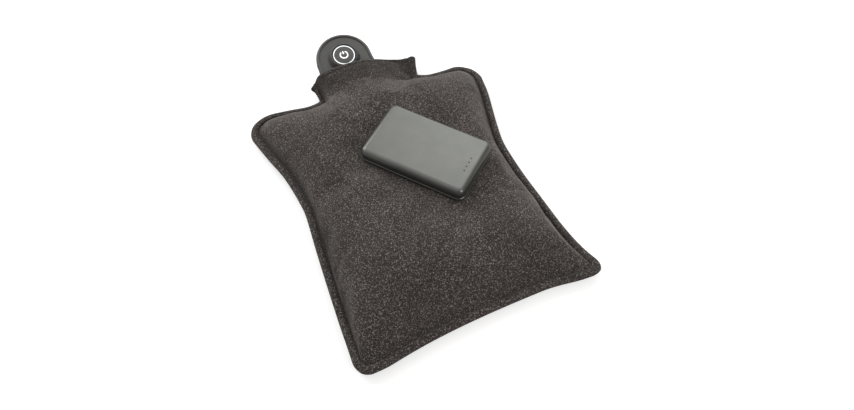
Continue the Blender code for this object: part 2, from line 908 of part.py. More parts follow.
def zip_levels():
    # Heights in the zip, from the hems' inner faces up
    tape_low = cloth_thickness + zip_groove_depth + seat_gap
    tape_high = tape_low + zip_tape_thickness
    tooth_low = (tape_low + tape_high - zip_tooth_height) / 2
    return tape_low, tape_high, tooth_low, tooth_low + zip_tooth_height


def add_zip_chain(name, direction):
    tape_low, tape_high, tooth_low, tooth_high = zip_levels()
    near = zip_tape_inner_edge
    tape = boxes(name, [((-zip_half_length, near, tape_low),
                         (zip_half_length, near + zip_tape_width, tape_high))])
    root = near + zip_tooth_root
    comb = [(zip_half_length - seat_gap, root), (seat_gap - zip_half_length, root)]
    count = int(2 * (zip_half_length - zip_stop_length) / zip_tooth_pitch)
    start = -count * zip_tooth_pitch / 2
    comb.append((seat_gap - zip_half_length, zip_row_half_gap))
    comb.append((start - zip_tooth_pitch / 4, zip_row_half_gap))
    for tooth in range(count):
        x = start + (tooth + 0.5) * zip_tooth_pitch
        half = zip_tooth_pitch / 4
        comb.append((x - half, near))
        comb.append((x - half, zip_row_half_gap))
        comb.append((x + half, zip_row_half_gap))
        comb.append((x + half, near))
    comb.insert(4, (start - zip_tooth_pitch / 4, near))
    comb.append((-start + zip_tooth_pitch / 4, near))
    comb.append((-start + zip_tooth_pitch / 4, zip_row_half_gap))
    comb.append((zip_half_length - seat_gap, zip_row_half_gap))
    turn = (0, 0, 0) if direction > 0 else (0, 0, math.pi)
    piece = place(name, tape, zip_cloth, location=(0, zip_y, 0), rotation=turn)
    teeth = place(name + "_teeth", flat_solid(name + "_teeth", [comb], tooth_low, tooth_high), None,
                  location=(0, zip_y, 0), rotation=turn, cutter=True)
    cut(piece, teeth, "UNION")


def slider_rest_x():
    return -zip_half_length + zip_stop_length + slider_length / 2 + slider_end_clearance


def add_zip_slider():
    tooth_low, tooth_high = zip_levels()[2:]
    tape_low, tape_high = zip_levels()[:2]
    lower_top = tooth_low - seat_gap
    lower_bottom = lower_top - slider_plate_thickness
    upper_bottom = tooth_high + seat_gap
    half = slider_length / 2
    shield = [(-half, -slider_nose_half_width), (half, -slider_half_width),
              (half, slider_half_width), (-half, slider_nose_half_width)]
    origin = (slider_rest_x(), zip_y, 0)
    piece = place("zip_slider", flat_solid("zip_slider", [shield], lower_bottom, lower_top), zip_metal,
                  location=origin)
    bevel(piece, slider_edge_inset / 2, 1)
    top = place("slider_top", flat_solid("slider_top", [shield], upper_bottom,
                                         upper_bottom + slider_plate_thickness),
                None, location=origin, cutter=True)
    bevel(top, slider_edge_inset / 2, 1)
    post = place("slider_post", boxes("slider_post", [
        ((half - slider_post_length - slider_edge_inset, -slider_post_thickness / 2,
          lower_bottom + slider_plate_thickness / 2),
         (half - slider_edge_inset, slider_post_thickness / 2,
          upper_bottom + slider_plate_thickness / 2))]), None, location=origin, cutter=True)
    rims = []
    for direction in (-1, 1):
        outer = direction * slider_nose_half_width
        inner = direction * (zip_tape_inner_edge + zip_tooth_root + seat_gap)
        low_y, high_y = sorted((outer, inner))
        rims.append(((slider_edge_inset - half, low_y, lower_top - slider_plate_thickness / 2),
                     (half - slider_edge_inset, high_y, tape_low - seat_gap)))
        rims.append(((slider_edge_inset - half, low_y, tape_high + seat_gap),
                     (half - slider_edge_inset, high_y, upper_bottom + slider_plate_thickness / 2)))
    window_low = lower_bottom - bridge_window_height
    reach = bridge_window_half_length + bridge_foot_length
    bridge = [((-reach, -bridge_width / 2, window_low - bridge_bar_thickness),
               (reach, bridge_width / 2, window_low))]
    for direction in (-1, 1):
        low_x, high_x = sorted((direction * bridge_window_half_length, direction * reach))
        bridge.append(((low_x, -bridge_width / 2, window_low - bridge_bar_thickness / 2),
                       (high_x, bridge_width / 2, lower_bottom + slider_plate_thickness / 2)))
    cut(piece, top, "UNION")
    cut(piece, post, "UNION")
    for index, (low, high) in enumerate(rims + bridge):
        block = place("slider_block_%d" % index, boxes("slider_block", [(low, high)]), None,
                      location=origin, cutter=True)
        cut(piece, block, "UNION")
    return lower_bottom


def add_zip_pull(lower_bottom):
    axis_height = lower_bottom - bridge_window_height / 2
    half_eye = pull_thickness / 2
    end = pull_length - pull_half_width
    outline = [(-half_eye, -pull_half_width), *arc((end, 0), pull_half_width, -90, 90, 8),
               (-half_eye, pull_half_width)]
    window = rounded_rectangle(pull_window_length / 2, pull_window_half_width, pull_thickness / 3, 2,
                               (half_eye + pull_window_length / 2, 0))
    hole = circle(pull_half_width / 3, 10, (end, 0))
    mesh = flat_solid("zip_pull", [outline, window, hole], -half_eye, half_eye)
    droop = math.asin((axis_height - half_eye - seat_gap / 2) / pull_length)
    place("zip_pull", mesh, zip_metal, location=(slider_rest_x(), zip_y, axis_height),
          rotation=(0, droop, 0))


# Stuffing

def paddle_plane_height(y):
    # The middle plane of the paddle, where it passes y
    return head_height + (y - head_y) * math.tan(paddle_tilt)


def interface_heights(y):
    # Underside of the front stuffing and top of the back stuffing, apart where the paddle lies
    tail_y = head_y - paddle_tail - grommet_length - 2 * lead_straight_run
    blend_length = carrier_corner_radius * 2
    share = min(max((y - (tail_y - blend_length)) / blend_length, 0), 1)
    clearance = cloth_gap + seat_gap
    middle = paddle_plane_height(max(y, head_y - paddle_tail))
    upper = middle + paddle_front_depth / math.cos(paddle_tilt) + clearance
    lower = middle - paddle_back_depth / math.cos(paddle_tilt) - clearance
    front = (interface_height + heater_layer) * (1 - share) + upper * share
    back = interface_height * (1 - share) + lower * share
    return front, back


def add_pad(name, side):
    bm, column_layer, row_layer = panel_sheet("front")
    back_sheet, back_column_layer, back_row_layer = panel_sheet("back")
    back_points = {(vertex[back_column_layer], vertex[back_row_layer]): vertex.co + vertex.normal * cloth_gap
                   for vertex in back_sheet.verts}
    front_points = {(vertex[column_layer], vertex[row_layer]): vertex.co - vertex.normal * cloth_gap
                    for vertex in bm.verts}
    back_sheet.free()
    outside = [vertex for vertex in bm.verts
               if on_flange(abs(vertex[column_layer]), vertex[row_layer])
               or on_stitching(abs(vertex[column_layer]), vertex[row_layer])
               or vertex[row_layer] > edge_top_row + 1
               or (vertex[row_layer] > stitch_top_row
                   and abs(vertex[column_layer]) >= neck_columns - 1)]
    bmesh.ops.delete(bm, geom=outside, context="VERTS")
    made = bmesh.ops.extrude_face_region(bm, geom=bm.faces[:], use_keep_orig=True)["geom"]
    raised = {item for item in made if isinstance(item, bmesh.types.BMVert)}
    for vertex in bm.verts:
        key = (vertex[column_layer], vertex[row_layer])
        front_point = front_points[key]
        back_point = back_points[key]
        front_low, back_high = interface_heights(front_point.y)
        front_low = min(front_low, front_point.z - pad_edge_thickness)
        back_high = min(back_high, front_low - cloth_gap - seat_gap)
        if side == "front":
            vertex.co = front_point if vertex in raised else (front_point.x, front_point.y, front_low)
        else:
            back_low = (front_point.x, front_point.y, back_point.z + cloth_gap)
            vertex.co = (front_point.x, front_point.y, back_high) if vertex in raised else back_low
    bmesh.ops.recalc_face_normals(bm, faces=bm.faces)
    piece = place(name, mesh_from(bm, name), wadding)
    smooth(piece, 60)
    return piece


def pocket_span():
    # The pocket's foot and head, above the zip and the plug
    low = plug_line() + plug_overmould_width / 2 + pocket_ease / 2
    return low, low + bank_length + pocket_ease


def add_back_pad():
    piece = add_pad("pad_back", "back")
    low, high = pocket_span()
    hollow = place("pad_hollow", boxes("pad_hollow", [
        ((-hollow_half_width, zip_y - zip_groove_reach, -cut_overrun),
         (hollow_half_width, high + hollow_head_room, hollow_height))]), None, cutter=True)
    channel_x = from_paddle(-grommet_offset, -paddle_tail, 0).x
    channel = place("pad_channel", boxes("pad_channel", [
        ((channel_x - channel_half_width, high, -cut_overrun),
         (channel_x + channel_half_width, head_y - paddle_tail - grommet_length / 2,
          channel_height))]),
        None, cutter=True)
    cut(piece, hollow)
    cut(piece, channel)


def add_pocket():
    low, high = pocket_span()
    floor = cloth_thickness + seat_gap
    half = (bank_width + pocket_ease) / 2
    thickness = 2 * pocket_wall + pocket_slot
    outline = rounded_rectangle(half, (high - low) / 2, pocket_ease / 2, 3, (0, (low + high) / 2))
    piece = place("battery_pocket", flat_solid("battery_pocket", [outline], floor, floor + thickness), lining)
    slot = place("pocket_slot", boxes("pocket_slot", [
        ((pocket_wall * 2 - half, low - cut_overrun, floor + pocket_wall),
         (half - pocket_wall * 2, high - pocket_wall * 2, floor + pocket_wall + pocket_slot))]),
        None, cutter=True)
    cut(piece, slot)


# Heater

def carrier_span():
    low = foot_y + carrier_foot_distance
    return low, low + carrier_length


def add_heater():
    low, high = carrier_span()
    bottom = interface_height + seat_gap
    top = bottom + carrier_thickness
    middle = (low + high) / 2
    outline = rounded_rectangle(carrier_half_width, carrier_length / 2, carrier_corner_radius, 4, (0, middle))
    place("heater_carrier", flat_solid("heater_carrier", [outline], bottom, top), carrier_film)
    height = top + seat_gap + wire_radius
    run = carrier_half_width - wire_margin
    pitch = (carrier_length - 4 * wire_margin) / (wire_run_count - 1)
    bend = pitch / 2
    points = []
    for index in range(wire_run_count):
        y = low + wire_margin + pitch * index
        side = 1 if index % 2 == 0 else -1
        points.append((-side * (run - bend), y, height))
        points.append((side * (run - bend), y, height))
        if index < wire_run_count - 1:
            for step in range(1, wire_bend_steps):
                angle = math.pi * step / wire_bend_steps - math.pi / 2
                points.append((side * (run - bend + bend * math.cos(angle)),
                               y + bend + bend * math.sin(angle), height))
    tube("heating_wire", points, wire_radius, wire_alloy, 1)
    part_low = top + seat_gap
    terminal_y = high - terminal_width / 2 - wire_margin / 2
    terminal = boxes("heater_terminal", [
        ((terminal_offset - terminal_length / 2, terminal_y - terminal_width / 2, part_low),
         (terminal_offset + terminal_length / 2, terminal_y + terminal_width / 2,
          part_low + terminal_height))])
    piece = place("heater_terminal", terminal, chip_black)
    bevel(piece, seat_gap)
    sensor_y = low + wire_margin + pitch * (wire_run_count // 2) + pitch / 2
    sensor = boxes("temperature_sensor", [
        ((-sensor_length / 2, sensor_y - sensor_width / 2, part_low),
         (sensor_length / 2, sensor_y + sensor_width / 2, part_low + sensor_height))])
    piece = place("temperature_sensor", sensor, chip_black)
    bevel(piece, seat_gap)


# Leads

def from_paddle(u, v, w):
    return paddle_frame.matrix_world @ Vector((u, v, w))


def grommet_axis_height():
    # Half way between the back shell's floor and the front shell's roof
    return (front_roof() + back_floor - paddle_back_depth) / 2


def supply_route():
    # The supply lead: out of the paddle, down into the hollow, round the pocket to its plug
    low, high = pocket_span()
    floor = cloth_thickness + seat_gap + supply_lead_radius
    u = -grommet_offset
    w = grommet_axis_height()
    inside = from_paddle(u, -board_tail_end - seat_gap, w)
    outside = from_paddle(u, -paddle_tail - grommet_length, w)
    beyond = from_paddle(u, -paddle_tail - grommet_length - lead_straight_run, w)
    lane = (bank_width + pocket_ease) / 2 + hollow_margin
    turn_y = high + hollow_head_room / 2
    bend = hollow_head_room
    fall = (beyond.y - turn_y) / 4
    drop = (beyond.z - floor) / 2
    tail_x = plug_tail_x()
    return [inside, outside, beyond,
            (beyond.x, beyond.y - fall, beyond.z - drop * 0.7),
            (beyond.x, beyond.y - 2 * fall, floor + drop * 0.4),
            (beyond.x, beyond.y - 3 * fall, floor),
            (beyond.x - bend / 3, turn_y, floor),
            (beyond.x - bend, turn_y - hollow_margin / 3, floor),
            (-lane + bend / 3, turn_y - hollow_margin / 2, floor),
            (-lane, turn_y - bend, floor),
            (-lane, (low + high) / 2, floor),
            (-lane, low + bend, floor),
            (-lane + hollow_margin / 3, low, floor + supply_lead_radius / 2),
            (tail_x - hollow_margin, plug_line(), plug_height()),
            (tail_x, plug_line(), plug_height())]


def plug_line():
    return zip_y + zip_groove_reach + plug_distance


def plug_tail_x():
    return -(bank_width + pocket_ease) / 2 + 6 * supply_lead_radius


def plug_height():
    return cloth_thickness + seat_gap + plug_overmould_height / 2


def add_supply_lead():
    points = smooth_route(supply_route(), lead_point_spacing)
    floor = cloth_thickness + seat_gap + supply_lead_radius
    points = [(point[0], point[1], max(point[2], floor)) for point in points]
    tube("supply_lead", points, supply_lead_radius, lead_rubber)
    tail = plug_tail_x() + seat_gap
    turn = (0, math.pi / 2, 0)
    height = plug_height()
    body = flat_solid("usb_plug_overmould", [rounded_rectangle(
        plug_overmould_height / 2, plug_overmould_width / 2, plug_overmould_radius, 3)],
        0, plug_overmould_length)
    piece = place("usb_plug_overmould", body, lead_rubber, location=(tail, plug_line(), height),
                  rotation=turn)
    bevel(piece, seat_gap, 1, 50)
    shell = flat_solid("usb_plug_shell", [
        rounded_rectangle(plug_shell_height / 2, plug_shell_width / 2, plug_shell_height / 2 - seat_gap, 4),
        rounded_rectangle(plug_shell_height / 2 - usb_c_wall, plug_shell_width / 2 - usb_c_wall,
                          plug_shell_height / 2 - seat_gap - usb_c_wall, 4)],
        0, plug_shell_length)
    place("usb_plug_shell", shell, plug_metal,
          location=(tail + plug_overmould_length + seat_gap, plug_line(), height), rotation=turn)


def add_heater_lead():
    low, high = carrier_span()
    top = interface_height + seat_gap + carrier_thickness + seat_gap + heater_lead_radius
    w = grommet_axis_height()
    inside = from_paddle(grommet_offset, -board_tail_end - seat_gap, w)
    outside = from_paddle(grommet_offset, -paddle_tail - grommet_length, w)
    beyond = from_paddle(grommet_offset, -paddle_tail - grommet_length - lead_straight_run / 2, w)
    end_y = high - wire_margin / 2 + seat_gap
    climb = []
    for share in (0.25, 0.5, 0.75):
        # Half way between the two stuffings, which part here
        y = beyond.y - 2 * carrier_corner_radius * share
        climb.append((beyond.x + (terminal_offset - beyond.x) * smooth_share(share), y,
                      min(sum(interface_heights(y)) / 2, top)))
    route = [inside, outside, beyond, *climb,
             (terminal_offset, high, top),
             (terminal_offset, end_y, top)]
    tube("heater_lead", smooth_route(route, lead_point_spacing / 2), heater_lead_radius, lead_rubber)


# Controller

def paddle_outline(inset):
    # A round head on sides that flare towards a tail with round corners
    radius = head_radius - inset
    flare = paddle_flare_degrees
    head = arc((0, 0), radius, -flare, 180 + flare, 30)
    start_x, start_y = head[0]
    tail_y = inset - paddle_tail
    corner = paddle_tail_corner_radius - inset
    # Where a circle of the corner's radius touches both the side and the tail's end
    centre_y = tail_y + corner
    side_x = start_x + (start_y - centre_y) * math.tan(paddle_flare)
    centre_x = side_x - corner / math.cos(paddle_flare)
    left = arc((-centre_x, centre_y), corner, 180 + flare, 270, 6)
    right = arc((centre_x, centre_y), corner, 270, 360 - flare, 6)
    return head + left + right


def screw_places():
    upper = screw_circle_radius * math.sqrt(0.5)
    return [(-upper, upper), (upper, upper),
            (-tail_screw_offset, -tail_screw_distance), (tail_screw_offset, -tail_screw_distance)]


def front_roof():
    # Underside of the front shell's roof
    return paddle_front_depth - dish_depth - paddle_roof


def grommet_bores(name):
    # Bores along v through both shells at the parting, for the lead grommets
    bm = bmesh.new()
    length = paddle_wall + 2 * cut_overrun
    for side in (-1, 1):
        matrix = (Matrix.Translation((side * grommet_offset, -paddle_tail + paddle_wall / 2,
                                      grommet_axis_height()))
                  @ Matrix.Rotation(math.pi / 2, 4, "X"))
        bmesh.ops.create_cone(bm, cap_ends=True, segments=24, radius1=grommet_neck_radius + seat_gap,
                              radius2=grommet_neck_radius + seat_gap, depth=length, matrix=matrix)
    return place(name, mesh_from(bm, name), None, parent=paddle_frame, cutter=True)


def add_back_shell():
    rings = [(paddle_outline(inset), paddle_edge_radius - paddle_back_depth - rise)
             for inset, rise in reversed(rounding(paddle_edge_radius, paddle_edge_radius, paddle_edge_steps))]
    piece = place("controller_back_shell", stacked("controller_back_shell", rings + [(paddle_outline(0), 0)]),
                  controller_plastic, parent=paddle_frame)
    cavity = place("back_cavity",
                   flat_solid("back_cavity", [paddle_outline(paddle_wall)],
                              back_floor - paddle_back_depth, cut_overrun), None,
                   parent=paddle_frame, cutter=True)
    cut(piece, cavity)
    floor = back_floor - paddle_back_depth
    bosses = place("back_bosses", cylinders("back_bosses", screw_places(), screw_boss_radius,
                                            floor - back_floor / 2, -seat_gap), None,
                   parent=paddle_frame, cutter=True)
    cut(piece, bosses, "UNION")
    standoffs = place("back_standoffs", cylinders("back_standoffs", standoff_places(), standoff_radius,
                                                  floor - back_floor / 2, board_bottom - seat_gap, 12),
                      None, parent=paddle_frame, cutter=True)
    cut(piece, standoffs, "UNION")
    recess = place("back_recess", cylinders("back_recess", screw_places(),
                                            screw_head_radius + seat_gap, -paddle_back_depth - cut_overrun,
                                            screw_head_recess - paddle_back_depth), None,
                   parent=paddle_frame, cutter=True)
    cut(piece, recess)
    holes = place("back_holes", cylinders("back_holes", screw_places(), screw_hole_radius,
                                          -paddle_back_depth, cut_overrun), None,
                  parent=paddle_frame, cutter=True)
    cut(piece, holes)
    cut(piece, grommet_bores("back_grommet_bores"))
    smooth(piece)


def standoff_places():
    half = board_tail_half_width - 2 * standoff_radius
    return [(0, board_head_radius - 2 * standoff_radius), (-half, -board_head_radius),
            (half, -board_head_radius)]


def add_front_shell():
    rings = [(paddle_outline(inset), paddle_front_depth - paddle_edge_radius + rise)
             for inset, rise in rounding(paddle_edge_radius, paddle_edge_radius, paddle_edge_steps)]
    piece = place("controller_front_shell",
                  stacked("controller_front_shell", [(paddle_outline(0), seat_gap)] + rings),
                  controller_plastic, parent=paddle_frame)
    dish = place("front_dish",
                 flat_solid("front_dish", [paddle_outline(rim_width)],
                            paddle_front_depth - dish_depth, paddle_front_depth + cut_overrun), None,
                 parent=paddle_frame, cutter=True)
    cut(piece, dish)
    top = paddle_front_depth + boss_rise
    rim = [(boss_top_radius - inset, top - boss_edge_radius + rise)
           for inset, rise in reversed(rounding(boss_edge_radius, boss_edge_radius, 2))]
    floor = paddle_front_depth - dish_depth
    root = floor - paddle_roof / 2
    profile = [(0, top), *rim, (boss_radius, floor), (boss_radius, root), (0, root)]
    mesh, steps = turned("front_boss", profile, 40)
    boss = place("front_boss", mesh, None, parent=paddle_frame, cutter=True)
    screw(boss, steps)
    cut(piece, boss, "UNION")
    cavity = place("front_cavity",
                   flat_solid("front_cavity", [paddle_outline(paddle_wall)], -cut_overrun, front_roof()),
                   None, parent=paddle_frame, cutter=True)
    cut(piece, cavity)
    posts = place("front_posts", cylinders("front_posts", screw_places(), screw_post_radius,
                                           seat_gap, front_roof() + paddle_roof / 2), None,
                  parent=paddle_frame, cutter=True)
    cut(piece, posts, "UNION")
    holes = place("front_holes", cylinders("front_holes", screw_places(), screw_hole_radius,
                                           -cut_overrun, front_roof()), None,
                  parent=paddle_frame, cutter=True)
    cut(piece, holes)
    hole = place("button_hole", cylinders("button_hole", [(0, 0)], button_radius + button_gap,
                                          -cut_overrun, top + cut_overrun, 40), None,
                 parent=paddle_frame, cutter=True)
    cut(piece, hole)
    cut(piece, grommet_bores("front_grommet_bores"))
    smooth(piece)


def button_levels():
    # Bottom of the button's plate, its lip and its top
    top = paddle_front_depth + boss_rise + button_proud
    plate = top - button_crown - button_plate
    lip_top = front_roof() - seat_gap
    return plate, lip_top - button_lip_height, lip_top, top


def add_button():
    plate, lip_low, lip_high, top = button_levels()
    lip = button_radius + button_lip_width
    shoulder = top - button_crown
    skirt_inner = button_radius - button_lip_width * 2
    profile = [(0, top), (button_radius * 0.5, top - button_crown * 0.2),
               (button_radius - 2 * button_edge_radius, shoulder),
               (button_radius - button_edge_radius, shoulder - button_edge_radius * 0.2),
               (button_radius, shoulder - button_edge_radius),
               (button_radius, lip_high), (lip, lip_high), (lip, lip_low),
               (skirt_inner, lip_low), (skirt_inner, plate), (0, plate)]
    mesh, steps = turned("power_button", profile, 40)
    piece = place("power_button", mesh, controller_plastic, parent=paddle_frame)
    screw(piece, steps)
    guide_low = shoulder - guide_depth
    groove = place("ring_groove", flat_solid("ring_groove", [
        circle(ring_radius + ring_width / 2 + seat_gap, 40),
        circle(ring_radius - ring_width / 2 - seat_gap, 40)],
        guide_low - seat_gap, top + cut_overrun), None, parent=paddle_frame, cutter=True)
    cut(piece, groove)
    arc_loop, bar_loop = symbol_loops(seat_gap)
    for name, loop in (("symbol_arc_pocket", arc_loop), ("symbol_bar_pocket", bar_loop)):
        pocket = place(name, flat_solid(name, [loop], guide_low - seat_gap, top + cut_overrun), None,
                       parent=paddle_frame, cutter=True)
        cut(piece, pocket)
    ring = flat_solid("ring_light_guide", [circle(ring_radius + ring_width / 2, 40),
                                           circle(ring_radius - ring_width / 2, 40)],
                      guide_low, shoulder)
    smooth(place("ring_light_guide", ring, light_guide, parent=paddle_frame))
    for name, loop in zip(("symbol_arc_guide", "symbol_bar_guide"), symbol_loops(0)):
        symbol = flat_solid(name, [loop], guide_low, shoulder + button_crown * 0.8)
        smooth(place(name, symbol, light_guide, parent=paddle_frame))


def symbol_loops(growth):
    # The open ring and the bar of the usual on-off sign
    half = symbol_line_width / 2 + growth
    open_half = symbol_gap_degrees / 2 - math.degrees(growth / symbol_radius)
    outer = arc((0, 0), symbol_radius + half, 90 + open_half, 450 - open_half, 26)
    inner = arc((0, 0), symbol_radius - half, 450 - open_half, 90 + open_half, 26)
    top = symbol_radius + half
    bar_bottom = symbol_radius + symbol_line_width / 2 - symbol_bar_length - growth
    bar = [(-half, bar_bottom), (half, bar_bottom), (half, top), (-half, top)]
    return outer + inner, bar


def add_board():
    radius = board_head_radius
    tail = board_tail_half_width
    start = math.degrees(math.acos(tail / radius)) if tail < radius else 0
    outline = arc((0, 0), radius, -start, 180 + start, 28)
    outline += [(-tail, -board_tail_end), (tail, -board_tail_end)]
    mesh = flat_solid("controller_board", [outline], board_bottom, board_bottom + board_thickness)
    place("controller_board", mesh, board_green, parent=paddle_frame)
    low = board_bottom + board_thickness + seat_gap
    half = switch_width / 2
    body = place("button_switch", boxes("button_switch", [
        ((-half, -half, low), (half, half, low + switch_height))]), chip_black, parent=paddle_frame)
    well = place("switch_well", cylinders("switch_well", [(0, 0)], stem_radius + stem_well_gap,
                                          low + switch_well_floor, low + switch_height + cut_overrun),
                 None, parent=paddle_frame, cutter=True)
    cut(body, well)
    stem_low = low + switch_well_floor + button_travel + seat_gap / 2
    stem_high = button_levels()[0] - seat_gap
    stem = cylinders("switch_stem", [(0, 0)], stem_radius, stem_low, stem_high)
    smooth(place("switch_stem", stem, tongue_plastic, parent=paddle_frame))
    place_copies("ring_led", led_mesh("ring_led"), led_white, circle(ring_radius, led_count), low,
                 paddle_frame)
    for name, x, y, size in board_part_places():
        chip = boxes(name, [((x - size / 2, y - size / 2, low),
                             (x + size / 2, y + size / 2, low + chip_height))])
        place(name, chip, chip_black, parent=paddle_frame)


def led_mesh(name):
    return boxes(name, [((-led_length / 2, -led_width / 2, 0), (led_length / 2, led_width / 2, led_height))])


def board_part_places():
    # What stands on the board's tail, with its place and its size
    row = (board_head_radius + board_tail_end) / 2
    return [("controller_processor", 0, -row, chip_width),
            ("heater_switch_chip", 2 * chip_width, -row, chip_width * 0.8),
            ("controller_capacitor", -2 * chip_width, -row, chip_width * 0.6)]


def add_screws():
    # Profile from the screw's end down to its head, which faces the back
    head_high = screw_head_sinking + screw_head_height
    length = paddle_back_depth + front_roof() - seat_gap
    profile = [(0, length), (screw_shank_radius, length), (screw_shank_radius, head_high),
               (screw_head_radius, head_high), (screw_head_radius, screw_head_sinking),
               (0, screw_head_sinking)]
    mesh, steps = turned("controller_screw", profile, 14)
    mesh.materials.append(screw_steel)
    for index, (x, y) in enumerate(screw_places()):
        piece = place("controller_screw_%d" % (index + 1), mesh, None, parent=paddle_frame,
                      location=(x, y, -paddle_back_depth))
        screw(piece, steps)


def add_grommets():
    # Profile height runs from the tip at the far end to the flange inside the wall
    bore = supply_lead_radius + seat_gap
    inner = -paddle_tail + paddle_wall + seat_gap
    outer = -paddle_tail - seat_gap
    tip = -paddle_tail - grommet_length + seat_gap
    # The inner flange just fits between the shells
    held = (front_roof() + paddle_back_depth - back_floor) / 2 - seat_gap
    profile = [(bore, inner + grommet_flange_length), (held, inner + grommet_flange_length),
               (held, inner), (grommet_neck_radius, inner),
               (grommet_neck_radius, outer), (grommet_flange_radius, outer),
               (grommet_flange_radius * 0.9, outer - grommet_length / 3),
               (grommet_tip_radius, tip), (bore, tip)]
    mesh, steps = turned("lead_grommet", profile, 16, closed=True)
    mesh.materials.append(lead_rubber)
    for name, offset in (("supply_lead_grommet", -grommet_offset), ("heater_lead_grommet", grommet_offset)):
        piece = place(name, mesh, None, parent=paddle_frame,
                      location=(offset, 0, grommet_axis_height()), rotation=(-math.pi / 2, 0, 0))
        screw(piece, steps)


# Power bank

def bank_outline(inset):
    return rounded_rectangle(bank_length / 2 - inset, bank_width / 2 - inset, bank_corner_radius - inset, 6)


def top_shell_rings(wall, low):
    # The upper shell's form, or its hollow a wall inside it: upright sides, then a long soft rounding
    rise = bank_height - wall - bank_side_height
    rings = [(bank_outline(bank_lip + wall), low)]
    for inset, height in rounding(bank_top_rounding - bank_lip, rise, 6):
        share = 1 - wall / bank_corner_radius
        rings.append((bank_outline(bank_lip + wall + inset * share), bank_side_height + height))
    return rings


def bank_piece(name, mesh, material=None):
    return place(name, mesh, material, parent=bank_frame, cutter=material is None)


def board_top():
    return bank_board_bottom + bank_board_thickness


def dot_places():
    places = []
    for index in range(bank_dot_count):
        shift = (index - (bank_dot_count - 1) / 2) * bank_dot_spacing
        places.append((bank_dot_distance, bank_dot_shift + shift))
    return places


def side_window(name, length, height, distance, middle_height, grow):
    # A pill-shaped opening in the long side, for the button
    outline = rounded_rectangle(length / 2 + grow, height / 2 + grow, height / 2 + grow - seat_gap / 3, 5)
    mesh = flat_solid(name, [outline], bank_width / 2 - 2 * bank_wall, bank_width / 2 + cut_overrun)
    return place(name, mesh, None, parent=bank_frame, location=(distance, 0, middle_height),
                 rotation=(-math.pi / 2, 0, 0), cutter=True)


def port_middle(height):
    return board_top() + seat_gap + height / 2


def end_window(name, width, height, shift, radius):
    # An opening in the short end, for a socket
    outline = rounded_rectangle(height / 2 + port_gap, width / 2 + port_gap, radius, 4)
    mesh = flat_solid(name, [outline], -bank_length / 2 - cut_overrun, 3.5 * bank_wall - bank_length / 2)
    return place(name, mesh, None, parent=bank_frame, location=(0, shift, port_middle(height)),
                 rotation=(0, math.pi / 2, 0), cutter=True)


def button_middle_height():
    return board_top() + bank_button_lip + bank_button_height / 2 + 2 * seat_gap


def add_bank_shells():
    top = bank_piece("bank_top_shell",
                     stacked("bank_top_shell", top_shell_rings(0, bank_parting_height + seat_gap)),
                     bank_plastic)
    cut(top, bank_piece("top_cavity", stacked("top_cavity", top_shell_rings(bank_wall, 0))))
    dots = place("dot_holes", cylinders("dot_holes", dot_places(), bank_dot_radius,
                                        bank_height - 2 * bank_wall, bank_height + cut_overrun, 12),
                 None, parent=bank_frame, cutter=True)
    cut(top, dots)
    cut(top, end_window("usb_a_window", usb_a_width, usb_a_height, usb_a_shift, usb_a_wall * 2))
    cut(top, end_window("usb_c_window", usb_c_width, usb_c_height, usb_c_shift,
                        usb_c_height / 2 + port_gap / 2))
    cut(top, side_window("button_window", bank_button_length, bank_button_height, bank_button_distance,
                         button_middle_height(), seat_gap))
    smooth(top)
    edge = [(bank_outline(inset), bank_bottom_edge_radius - rise)
            for inset, rise in reversed(rounding(bank_bottom_edge_radius, bank_bottom_edge_radius, 3))]
    lip = [(bank_outline(0), bank_parting_height - bank_lip), (bank_outline(bank_lip), bank_parting_height)]
    bottom = bank_piece("bank_bottom_shell", stacked("bank_bottom_shell", edge + lip), bank_plastic)
    inner = bank_outline(bank_wall + bank_lip)
    hollow = stacked("bottom_cavity", [(inner, bank_wall), (inner, bank_height)])
    cut(bottom, bank_piece("bottom_cavity", hollow))
    posts = place("bank_posts", cylinders("bank_posts", bank_post_places(), bank_post_radius,
                                          bank_wall / 2, bank_board_bottom - seat_gap, 12), None,
                  parent=bank_frame, cutter=True)
    cut(bottom, posts, "UNION")
    smooth(bottom)


def bank_board_reach():
    half_length = bank_length / 2 - bank_wall - bank_board_clearance
    half_width = bank_width / 2 - bank_wall - bank_board_clearance
    return half_length, half_width


def bank_post_places():
    half_length, half_width = bank_board_reach()
    inset = bank_corner_radius - bank_wall
    return [(half_length - inset, half_width - inset), (inset - half_length, half_width - inset),
            (inset - half_length, inset - half_width), (half_length - bank_led_arm / 2, bank_dot_shift)]


